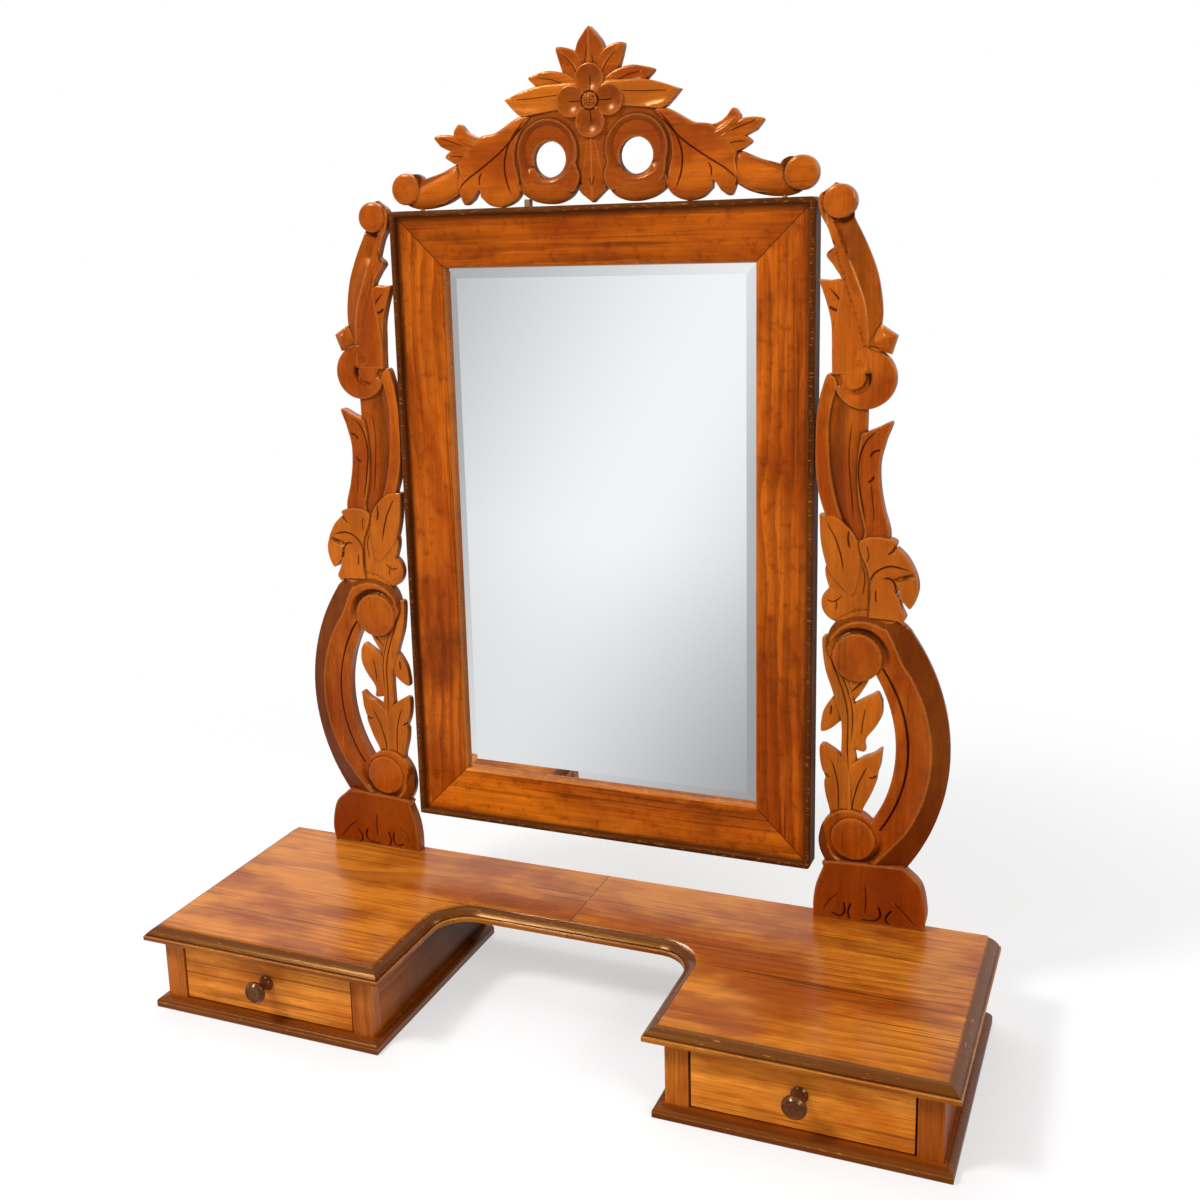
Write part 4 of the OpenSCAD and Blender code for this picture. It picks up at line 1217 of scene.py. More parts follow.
@dataclass
class Support:
    """One carved support: foot, C scroll, leaves, stem and volutes, in millimetres."""

    scroll_dx: float = 242.5
    vine_dx: float = 243.5
    leaf_dx: float = 244.5
    stem_dx: float = 246.5
    low_eye: Point = (45.5, 96.0)
    high_eye: Point = (47.0, 302.0)
    bud_eye: Point = (27.5, 359.0)
    mid_eye: Point = (49.5, 598.0)
    top_eye: Point = (22.0, 774.5)

    def foot(self) -> list[Leaf]:
        """Returns the foot with its toes and veins."""
        at = from_middle(self.scroll_dx)
        ring = loop([(3, 0)], [(123.5, 0), (126, 20), (120, 50), (104.5, 66)],
                    [(100, 70), (20, 66)], [(13, 58), (6, 38), (3, 18)])
        toes = [
            Vein(at((268, 106), (275, 103.5), (279.5, 107), (281, 112), (280, 119)), 2.4, 3.4, True),
            Vein(at((287, 119), (285, 113), (284.7, 107), (287, 102)), 2.2, 3.4, True),
            Vein(at((301, 103), (310, 103), (317, 106), (320, 112), (318, 120)), 2.4, 3.4, True),
            Vein(at((331, 118), (327, 112), (326, 106), (330, 101)), 2.2, 3.4, True),
            Vein(at((303.5, 111), (304, 126), (303, 143)), 1.6, 1.2),
            Vein(at((332, 130), (344, 120), (358, 104)), 1.6, 1.2),
            Vein(at((257, 108), (263, 120), (274, 131)), 1.5, 1.0),
        ]
        return stained(0.62, Leaf(ring, 15.6, toes + [Ramp((62, 30), (62, 62), 1.5, 0.15)], 1.6))

    def ridge_line(self) -> list[Point]:
        """Returns the line between the scroll's outer bevel and its hollow."""
        low = sweep(self.low_eye, 29.5, 37.5, 200, 300, 9)
        mid = sweep((-44.4, 199.0), 171, 171, -33, 36, 15)
        top = sweep(self.high_eye, 43.5, 33, 42, 150, 10)
        return low + mid + top

    def lip_line(self) -> list[Point]:
        """Returns the dark line along the scroll's inner lip."""
        return sweep((-60.0, 201.0), 162.5, 162.5, -34, 34, 16)

    def scroll(self) -> list[Leaf]:
        """Returns the C scroll with its two eyes."""
        outer = sweep((-84, 200), 229, 229, -34.7, 34.5, 30)
        top = sweep(self.high_eye, 64.9, 42, 25.6, 134.5, 18)[1:]
        turn = sweep(self.high_eye, 42, 24, 134.5, 200, 8)[1:]
        turn += sweep(self.high_eye, 22, 22, 205, 305, 8)
        inner = sweep((-70.5, 203), 160, 160, 30.8, -32.1, 26)
        low = sweep(self.low_eye, 29.2, 38, 52, 180, 16)
        low += sweep(self.low_eye, 38, 50.4, 180, 277, 14)[1:]
        low += sweep(self.low_eye, 50.4, 63.6, 277, 334, 8)[1:]
        ring = apart(np.array(outer + top + turn + inner + low), 0.3)
        cuts = [
            # The outer bevel's grime is painted shade on the face that falls away.
            Fall(self.ridge_line(), -1, 19, 6.0, 1.0, 0.55, 0.3),
            Trough(sweep((-54.0, 199.0), 168, 168, -27, 28, 16), 24, 4.2, 0.12),
            Vein(self.lip_line(), 2.6, 3.2, True),
            Trough(sweep(self.low_eye, 28.5, 29.5, 205, 372, 16), 8.5, 5.2, 0.95),
            Trough(sweep(self.high_eye, 28.5, 31.0, 160, -20, 18), 8.5, 5.2, 0.95),
        ]
        body = Leaf(ring, 13.4, cuts, 1.2, stain=0.18)
        eyes = [Leaf(disc(c, r), 15.8, [Crown(r, 1.6, 1.6)], 2.2)
                for c, r in ((self.low_eye, 24.0), (self.high_eye, 26.5))]
        return [body] + stained(0.25, *eyes)

    def twin_leaves(self) -> list[Leaf]:
        """Returns the two leaves over the lower eye."""
        at = from_middle(self.scroll_dx + 0.5)
        left = loop(at((262, 214), (262, 224), (257, 243), (255.5, 257)),
                    at((257, 262), (252, 275), (250, 290), (251, 299)),
                    at((256, 300), (268, 293), (277, 285), (282, 276)),
                    at((285, 262), (285, 240), (284, 214)))
        right = loop(at((281, 214), (280, 240), (281, 262), (283, 277)),
                     at((288, 283), (298, 290), (308, 295), (317, 302)),
                     at((317, 294), (316, 283), (313, 272)),
                     at((312, 264), (306, 247), (298, 230), (292, 214)))
        left_cuts = [Vein(at((262, 285), (267, 272), (271, 252), (272, 224)), 1.7, 1.4),
                     Vein(at((252, 268), (257, 266), (262, 262)), 2.6, 1.8),
                     Fall(at((285, 214), (284, 240), (283, 276)), 1, 9, 1.8, 1.0, 0.25)]
        right_cuts = [Vein(at((303, 281), (294, 262), (288, 240), (286, 222)), 1.7, 1.4),
                      Vein(at((314, 272), (308, 268), (304, 268)), 2.6, 1.8),
                      Ramp((70, 190), (38, 130), 1.5, 0.2)]
        return stained(-0.2, Leaf(left, 11.6, left_cuts, 1.2), Leaf(right, 11.2, right_cuts, 1.2))

    def vine(self) -> list[Leaf]:
        """Returns the vine between the scroll's ends."""
        at = from_middle(self.vine_dx)
        stem = loop(at((272, 265), (274, 300), (273, 330), (264, 360), (255, 388), (252, 419)),
                    at((259, 423), (266, 421), (272, 405), (279, 380), (284, 360)),
                    at((290, 340), (291, 318), (288, 300), (292, 265)))
        upper = loop(at((272, 372), (284, 352)), at((292, 358), (300, 372), (303, 383)),
                     at((296, 392), (280, 396)), at((268, 392), (268, 380)))
        right = loop(at((285, 298), (286, 330), (285, 346)),
                     at((294, 354), (304, 360), (312, 364)),
                     at((317, 355), (317, 340), (311, 326), (301, 312)),
                     at((299, 305), (299, 296)))
        left = loop(at((273, 328), (262, 318), (252, 314)),
                    at((251, 322), (254, 338), (262, 352), (268, 357)), at((272, 350)))
        stem_cuts = [
            Vein(at((257, 412), (267, 385), (276, 360), (281, 335), (281, 300), (283, 272)), 1.5, 1.2),
            Vein(at((262, 416), (272, 385), (281, 362), (286, 338), (285, 305)), 1.3, 1.0),
            Crown(8, 1.2),
        ]
        right_cuts = [Vein(at((300, 346), (297, 330), (296, 315)), 1.4, 0.9), Crown(9, 1.2)]
        upper_cuts = [Crown(9, 1.3), Vein(at((296, 375), (284, 362)), 2.4, 1.2)]
        left_cuts = [Vein(at((262, 334), (263, 345)), 2.2, 1.4), Crown(7, 1.0)]
        return stained(-0.2, Leaf(upper, 8.4, upper_cuts, 1.0), Leaf(left, 8.8, left_cuts, 1.0),
                       Leaf(right, 9.4, right_cuts, 1.1), Leaf(stem, 10.2, stem_cuts, 1.2))

    def hook_leaves(self) -> list[Leaf]:
        """Returns the leaf cluster over the scroll, with its hooked lobe and its bud."""
        at = from_middle(self.leaf_dx)
        base = loop(at((268, 446), (262, 470), (256, 498), (270, 520), (285, 528)),
                    at((300, 532), (320, 528)), at((334, 515), (338, 495), (330, 470), (334, 447)),
                    at((320, 440), (300, 436), (284, 438)))
        hook = loop(at((303, 447), (303, 470), (302, 495), (294, 515), (292, 528)),
                    at((302, 534), (318, 534), (330, 530)),
                    at((328, 520), (323, 517)),
                    at((331, 524), (342, 513), (351, 495), (353, 478), (346, 460)),
                    at((338, 466), (330, 476)), at((333, 480), (336, 462), (341, 450)),
                    at((337, 443), (330, 446)))
        left = loop(at((249, 555), (262, 555), (274, 548), (285, 536), (291, 523)),
                    at((293, 510), (290, 485), (284, 470)), at((268, 484), (258, 498), (251, 525)))
        hook_cuts = [
            Vein(at((303.5, 452), (303.5, 470), (304, 487), (311, 498), (324, 504), (338, 502), (346, 499)),
                 2.2, 1.8),
            Vein(at((317, 490), (324, 491), (330, 484), (330, 476)), 2.4, 2.0),
            Trough(at((326, 488), (336, 491), (350, 496)), 6.5, 3.5, 0.9),
            Vein(at((310, 478), (310, 470), (311, 464)), 2.0, 1.0),
            Vein(at((322, 516), (327, 521), (330, 528)), 2.6, 2.4),
            Vein(at((300, 525), (302, 514), (300, 506)), 1.2, 0.8),
        ]
        left_cuts = [Vein(at((257, 548), (266, 532), (272, 515), (276, 496)), 1.7, 1.4),
                     Vein(at((281, 540), (280, 530), (282, 520)), 2.2, 1.6), Crown(8, 1.0)]
        bud_cuts = [Crown(18, 3.0, 1.8), Vein(at((262, 478), (276, 478), (287, 468), (292, 452)), 2.0, 1.6),
                    Vein(at((258, 463), (266, 462), (274, 468)), 1.6, 1.0),
                    Vein(at((268, 452), (269, 460), (266, 466)), 1.4, 0.8)]
        bud = Leaf(disc(self.bud_eye, 20.5), 12.6, bud_cuts, 2.0)
        ground = Leaf(base, 11.0, [Vein(at((296, 470), (298, 490), (294, 505)), 1.4, 0.8)], 1.0)
        return stained(-0.2, ground, Leaf(left, 12.6, left_cuts, 1.3),
                       Leaf(hook, 13.8, hook_cuts, 1.5), bud)

    def lower_stem(self) -> list[Leaf]:
        """Returns the stem under the middle volute, with its strip and its leaf."""
        at = from_middle(self.stem_dx)
        cove = loop(at((276, 516), (266, 560), (258, 600), (257, 640), (260, 700)),
                    at((300, 700), (299, 645)), at((299, 600), (305, 550), (318, 512)))
        strip = loop(at((286, 530), (273, 556), (265, 585), (261, 615), (260, 650), (263, 672), (268, 690)),
                     at((266, 698), (258, 702)),
                     at((251, 682), (247, 655), (246.5, 610), (250, 580), (258, 553), (268, 530)))
        leaf = loop(at((294, 641), (310, 648), (325, 654)),
                    at((319, 635), (313.5, 612), (314, 588), (318, 565), (325, 536)),
                    at((318, 512), (296, 516)),
                    at((299, 540), (292, 570), (290, 600), (291, 622)))
        leaf_cuts = [
            Vein(at((312, 645), (300, 635), (293, 618), (291.5, 600), (294, 578), (300, 548)), 2.0, 1.6),
            Vein(at((303, 617), (307, 623), (314, 625)), 2.6, 1.8),
            Vein(at((301, 591), (305, 593), (308, 598)), 2.8, 1.8),
            Vein(at((305, 590), (307, 570), (309, 550)), 1.2, 0.7),
            Fall(at((291, 641), (290, 600), (297, 550), (300, 520)), -1, 12, 1.4),
        ]
        cove_cuts = [
            Trough(at((281, 520), (271, 560), (269, 600), (270, 640), (276, 680)), 20, 3.2, 0.5, False),
            Vein(at((284, 655), (281, 620), (283, 590), (287, 550)), 1.3, 0.7),
        ]
        return [Leaf(cove, 9.6, cove_cuts, 0.8, stain=0.25),
                Leaf(strip, 12.8, [Ramp((6, 520), (22, 520), 1.6)], 1.4, stain=0.05),
                Leaf(leaf, 12.2, leaf_cuts, 1.3, stain=0.1)]

    def upper_stem(self) -> list[Leaf]:
        """Returns the stem over the middle volute."""
        at = from_middle(self.stem_dx - 1.0)
        body = loop(at((262, 702), (262, 740), (268, 775), (270, 797)),
                    at((262, 812), (255, 822)), at((262, 830), (256, 848), (249, 862), (247, 880)),
                    at((262, 893), (278, 886)),
                    at((281, 858), (295, 830), (306, 800), (311, 765), (308, 735), (310, 706)))
        leaf = loop(at((247, 798), (258, 797), (270, 796)),
                    at((279, 775), (281, 750), (280, 722)), at((262, 715)),
                    at((261, 735), (260, 755), (255, 775)))
        body_cuts = [
            # The bevel's grime is painted shade on the face that falls away.
            Fall(at((297, 706), (297.5, 745), (294, 772), (286, 795), (278, 815)),
                 -1, 15, 5.0, 1.1, 0.3, 0.6),
            Trough(at((262, 858), (268, 856), (276, 859), (282, 866)), 8, 4.5, 0.95),
            Trough(at((271, 800), (283, 775), (289, 745), (290, 712)), 14, 1.8, 0.18, False),
            Vein(at((256, 823), (261, 829), (262, 836)), 2.4, 2.0),
            Fall(at((262, 832), (257, 848), (254, 866)), 1, 10, -2.2, 0.4),
        ]
        leaf_cuts = [Vein(at((257, 790), (268, 778), (276, 760), (278, 740), (277, 722)), 1.9, 1.6),
                     Vein(at((258, 771), (262, 768), (268, 766)), 3.0, 2.0), Crown(7, 0.9)]
        nail = loop(at((298, 730)), at((310, 752)), at((327, 741)), at((321, 722)))
        peak = (315.5 - self.stem_dx + 1.0, 639.0)
        return [Leaf(body, 11.4, body_cuts, 1.1, stain=0.22),
                Leaf(leaf, 12.4, leaf_cuts, 1.2, stain=0.1),
                Leaf(nail, 15.8, [Pyramid(peak, 13.0, 9.0)], 0.5, stain=-0.1)]

    def volutes(self) -> list[Leaf]:
        """Returns the middle volute with its boss and the disc at the top."""
        at = from_middle(self.stem_dx)
        boss = (286.0 - self.stem_dx, 599.0)
        groove = sweep(boss, 14.0, 15.5, 112, -118, 20)
        mid_cuts = [Trough(groove, 6.6, 5.0, 1.0), Crown(14, 1.3),
                    Trough(at((255, 702), (264, 703), (270, 697), (269, 688)), 6.0, 5.0, 1.0)]
        mid = Leaf(disc(self.mid_eye, 32.0, 72), 12.6, mid_cuts, 1.6)
        centre = Leaf(disc(boss, 11.6), 13.6, [Crown(11, 1.4)], 1.8)
        top = Leaf(disc(self.top_eye, 17.0), 15.8, [Crown(16, 2.6, 1.6)], 2.4)
        return stained(0.12, mid, centre, top)

    def build(self, side: str) -> bpy.types.Object:
        """Carves a support and stands it in for the plain one.

        Args:
            side: left or right.

        Returns:
            The carving.
        """
        leaves = (self.vine() + self.foot() + self.scroll() + self.twin_leaves() + self.lower_stem()
                  + self.upper_stem() + self.hook_leaves() + self.volutes())
        node = f"{side}_support"
        low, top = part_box(node)
        work = Carver(f"{node}_carving", leaves)
        work.carve()
        flip = side == "left"
        origin = Vector((top.x if flip else low.x, top.y, low.z))
        made = work.place(Vector((1, 0, 0)), Vector((0, 0, 1)), Vector((0, -1, 0)), origin, (flip,))
        keep_in_box(made, low, top)
        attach(made, "base")
        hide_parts(node)
        return made


@dataclass
class Crest:
    """The carved crest: flower, leaves, rings and arms, in millimetres over the frame."""

    ring_eye: Point = (49.6, 49.0)
    hole: float = 19.0
    dish_eye: Point = (51.0, 56.0)
    end_eye: Point = (227.0, 24.0)
    flower: Point = (0.0, 107.0)
    petal_out: float = 21.5
    petal: float = 16.5
    seed_rings: tuple = ((0.01, 1), (3.2, 6), (6.0, 10))

    def petal_eyes(self) -> list[Point]:
        """Returns the middles of the four petals."""
        x, y = self.flower
        return [(x + self.petal_out * dx, y + self.petal_out * dy)
                for dx, dy in ((0, 1), (1, 0), (-1, 0), (0, -1))]

    def near(self, eye: Point, outline: Array) -> bool:
        """Tells whether a petal reaches a leaf."""
        spot = np.array([eye])
        return bool(edge_gap(spot, outline)[0] < 2 * self.petal or inside(spot, outline)[0])

    def under_petals(self, leaves: list[Leaf]) -> list[Leaf]:
        """Returns leaves that lie lower under the petals."""
        for leaf in leaves:
            leaf.cuts += [Dish(eye, self.petal - 1.0, 6.0, 0.2, 14.0) for eye in self.petal_eyes()
                          if self.near(eye, leaf.outline)]
        return leaves

    def ground(self) -> list[Leaf]:
        """Returns the right half's ground with its arm and the disc at the arm's end."""
        ground = loop([(0, 20)], [(0, 100)], [(30, 112), (60, 108), (80, 95)],
                      [(100, 84), (122, 76), (140, 76), (152, 84)], [(157, 70), (150, 55), (162, 46)],
                      [(182, 40), (205, 33)], [(212, 26), (209, 6)], [(180, 6), (160, 16), (140, 24)],
                      [(120, 12), (95, 10), (84, 18)], [(70, 10), (50, 6), (30, 9), (14, 20)])
        arm = loop([(152, 20), (172, 8), (195, 2), (215, 2), (228, 8)], [(228, 20), (214, 27)],
                   [(200, 33), (178, 42), (162, 48)], [(155, 40)])
        nook = loop([(202, 6), (212, 4), (220, 6)], [(222, 40), (212, 40), (204, 32)])
        ground_cuts = [Vein([(60, 100), (84, 90), (112, 74)], 1.8, 1.2)]
        return [Leaf(ground, 9.6, ground_cuts, 1.0, [self.opening()], 0.5),
                Leaf(arm, 12.0, [Crown(13, 4.2, 1.6)], 1.4),
                Leaf(nook, 9.0, [Ramp((203, 20), (211, 20), 2.0, 1.0)], 0.6),
                Leaf(disc(self.end_eye, 17.5), 14.4, [Crown(16, 2.2, 1.6)], 2.4, stain=0.2)]

    def opening(self) -> Array:
        """Returns the outline of the hole."""
        return disc(self.ring_eye, self.hole, 64)

    def dished_ring(self) -> list[Leaf]:
        """Returns the dished ring round the hole and the roll under it."""
        ring = loop(sweep(self.dish_eye, 35, 35, -18, 200, 30),
                    [(17, 40), (14, 28), (22, 14)], [(40, 20), (60, 20), (80, 24)])
        under = self.hole + 0.5
        roll = loop(sweep(self.ring_eye, under, under, -25, -147, 22), [(31, 38), (20, 34)],
                    [(15, 24), (24, 10), (38, 3), (54, 2), (72, 7), (85, 18)], [(82, 32), (76, 41)])
        roll_cuts = [Crown(13, 3.4, 1.7), Vein([(30, 38), (24, 37), (20, 36)], 2.4, 2.0, True)]
        # The ring's dish darkens towards the hole with grime and painted shade.
        return [Leaf(ring, 13.2, [Dish((51, 58), 33.5, 9.6, 0.75, 2.0)], 1.4, [self.opening()], 0.6),
                Leaf(roll, 13.4, roll_cuts, 1.6, stain=0.4)]

    def drooping_leaf(self) -> list[Leaf]:
        """Returns the drooping leaf and the three lobes behind it."""
        droop = loop([(70, 95), (86, 94), (112, 80), (132, 76), (150, 60)], [(160, 46), (158, 40)],
                     [(160, 26), (158, 14), (152.5, 4)], [(143, 9), (135, 20)],
                     [(133, 12), (122, 3), (107, 0.5), (92, 6), (84, 17)],
                     [(86, 30), (90, 48), (88, 66), (80, 82)])
        droop_cuts = [Vein([(70, 94), (88, 76), (105, 60), (128, 44), (150, 30), (166, 14)], 2.0, 1.7),
                      Vein([(76, 92), (90, 76), (98, 62), (102, 45), (100, 28), (94, 12)], 2.0, 1.7),
                      Vein([(133, 24), (133, 32), (130, 38)], 1.8, 1.2), Crown(10, 1.4)]
        upper = loop([(118, 76), (134, 76), (147, 82), (156, 91)], [(163, 84), (162, 74)],
                     [(150, 66), (136, 62), (120, 66)])
        middle = loop([(136, 62), (152, 70), (166, 80), (187, 79)], [(180, 68), (166, 62), (152, 60)])
        lower = loop([(140, 58), (156, 66), (166, 64), (175, 57)], [(166, 50), (156, 46), (144, 48)])
        return [Leaf(droop, 12.4, droop_cuts, 1.3, stain=0.05),
                self.lobe(upper, 12.2, Trough([(124, 70), (142, 76), (157, 88)], 12, 2.4, 0.2)),
                self.lobe(middle, 12.0, Vein([(146, 66), (164, 72), (182, 78)], 1.2, 0.9)),
                self.lobe(lower, 11.4, Vein([(146, 54), (158, 57), (170, 57)], 1.2, 0.9))]

    @staticmethod
    def lobe(outline: Array, high: float, cut: Cut) -> Leaf:
        """Returns a small lobe with a cut along it."""
        return Leaf(outline, high, [cut, Crown(5, 0.8)], 1.0)

    def flower_leaves(self) -> list[Leaf]:
        """Returns the leaflet, the upper leaf and the big leaf beside the flower."""
        leaflet = loop([(6, 116), (4, 132), (10, 150), (20, 160), (37.5, 163)],
                       [(36, 150), (30, 134), (20, 122)])
        leaflet_cuts = [Vein([(12, 130), (20, 145), (32, 158)], 1.2, 0.8),
                        Fall([(8, 120), (16, 142), (36, 162)], -1, 10, 1.6, 1.0, 0.1), Crown(4, 0.5)]
        upper = loop([(8, 112), (14, 126), (28, 136), (46, 140), (60, 138), (71, 134)],
                     [(63, 125), (56, 118), (36, 112)])
        upper_cuts = [Vein([(24, 122), (42, 130), (58, 133)], 1.2, 0.8),
                      Trough([(20, 118), (40, 126), (62, 132)], 12, 1.6, 0.2), Crown(5, 0.7)]
        big = loop([(10, 100), (12, 124), (40, 126), (60, 125), (78, 121)], [(100, 113)],
                   [(92, 104), (80, 95), (60, 97), (34, 100)])
        big_cuts = [Trough([(20, 106), (45, 104), (70, 106), (94, 111)], 16, 2.4, 0.2),
                    Vein([(30, 115), (60, 113), (90, 112)], 1.1, 0.6), Crown(6, 0.8)]
        return [Leaf(leaflet, 11.6, leaflet_cuts, 1.1, stain=0.15), Leaf(upper, 12.0, upper_cuts, 1.2),
                Leaf(big, 13.0, big_cuts, 1.2, stain=-0.2)]

    def half(self) -> list[Leaf]:
        """Returns the parts of the right half."""
        return self.under_petals(self.ground() + self.dished_ring() + self.drooping_leaf()
                                 + self.flower_leaves())

    def crown_leaf(self) -> Leaf:
        """Returns the leaf that stands on top, ridged along its middle."""
        outline = loop([(-12, 116), (-18, 140), (-15, 163), (-6, 176)], [(0, 182)],
                       [(6, 176), (15, 163), (18, 140), (12, 116)])
        ridge = [(0, 116), (0, 150), (0, 181)]
        cuts = [Fall(ridge, 1, 16, 2.4, 1.0, 0.1), Fall(ridge, -1, 16, 2.0),
                Vein([(-6, 126), (-5, 145), (-1, 165)], 1.1, 0.7),
                Vein([(6, 126), (5, 142), (3, 156)], 1.1, 0.7)]
        return Leaf(outline, 12.8, cuts, 1.2, stain=0.2)

    def pendant(self) -> Leaf:
        """Returns the pointed drop between the rings."""
        outline = loop([(0, 2)], [(16, 16), (11, 36), (5, 70)], [(0, 90)], [(-5, 70), (-11, 36), (-16, 16)])
        ridge = [(0, 3), (0, 88)]
        cuts = [Fall(ridge, 1, 12, 2.6, 1.0, 0.1), Fall(ridge, -1, 12, 2.6),
                Vein([(-3, 30), (0, 18)], 1.2, 0.8), Vein([(3, 30), (0, 18)], 1.2, 0.8)]
        return Leaf(outline, 12.2, cuts, 1.1, stain=0.4)

    def blossom(self) -> list[Leaf]:
        """Returns the four dished petals and the button with its seeds."""
        flower, wide = self.flower, self.petal
        petals = []
        for eye in self.petal_eyes():
            way = ((eye[0] - flower[0]) / self.petal_out, (eye[1] - flower[1]) / self.petal_out)
            line = [(flower[0] + way[0] * r, flower[1] + way[1] * r) for r in (9, 26)]
            groove = Vein(sweep(flower, 9.4, 9.4, 0, 360, 30), 2.0, 1.8, True)
            # Each petal's dish darkens towards its middle with grime and painted shade.
            petals.append(Leaf(disc(eye, wide), 14.2, [Dish(eye, wide - 1.8, 4.6, 0.42, 2.2),
                                                       Vein(line, 1.4, 0.9), groove], 1.0, stain=0.4))
        seeds = [Dish((flower[0] + r * math.cos(turn), flower[1] + r * math.sin(turn)), 1.3, 1.2, 1.0)
                 for r, count in self.seed_rings for turn in np.arange(count) * 2 * math.pi / count]
        button = Leaf(disc(flower, 8.6), 15.9, [Crown(8.4, 2.0, 1.6)] + seeds, 1.6, stain=0.6)
        return petals + [button]

    def middle(self) -> list[Leaf]:
        """Returns the crown leaf, the pendant and the flower."""
        return self.under_petals([self.crown_leaf(), self.pendant()]) + self.blossom()

    def build(self) -> list[bpy.types.Object]:
        """Carves the crest and stands it in for the plain one.

        Returns:
            The side parts and the middle.
        """
        low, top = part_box("crest")
        origin = Vector((0, top.y, low.z))
        frame = (Vector((1, 0, 0)), Vector((0, 0, 1)), Vector((0, -1, 0)), origin)
        made = []
        for name, leaves, flips, fine in (("crest_sides", self.half(), (False, True), 1.5),
                                          ("crest_middle", self.middle(), (False,), 1.1)):
            work = Carver(name, leaves, fine)
            work.carve()
            piece = work.place(*frame, flips)
            keep_in_box(piece, low, top)
            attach(piece, "mirror")
            made.append(piece)
        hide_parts("crest")
        return made


@dataclass
class Dresser:
    """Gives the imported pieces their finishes."""

    nodes: Mapping[str, bpy.types.Object]
    finishes: dict[str, bpy.types.Material] = field(default_factory=dict)

    def finish(self, kind: Finish) -> bpy.types.Material:
        """Returns the material of a finish, built once."""
        if kind.name not in self.finishes:
            self.finishes[kind.name] = kind.build()
        return self.finishes[kind.name]

    def dress(self, kind: Finish, *pieces: Union[str, bpy.types.Object]) -> None:
        """Puts a finish on pieces.

        Args:
            kind: the finish.
            pieces: node names or objects.
        """
        material = self.finish(kind)
        for piece in pieces:
            made = self.nodes[piece] if isinstance(piece, str) else piece
            made.data.materials.clear()
            made.data.materials.append(material)
            log.info("dressed %s with %s", made.name, kind.name)


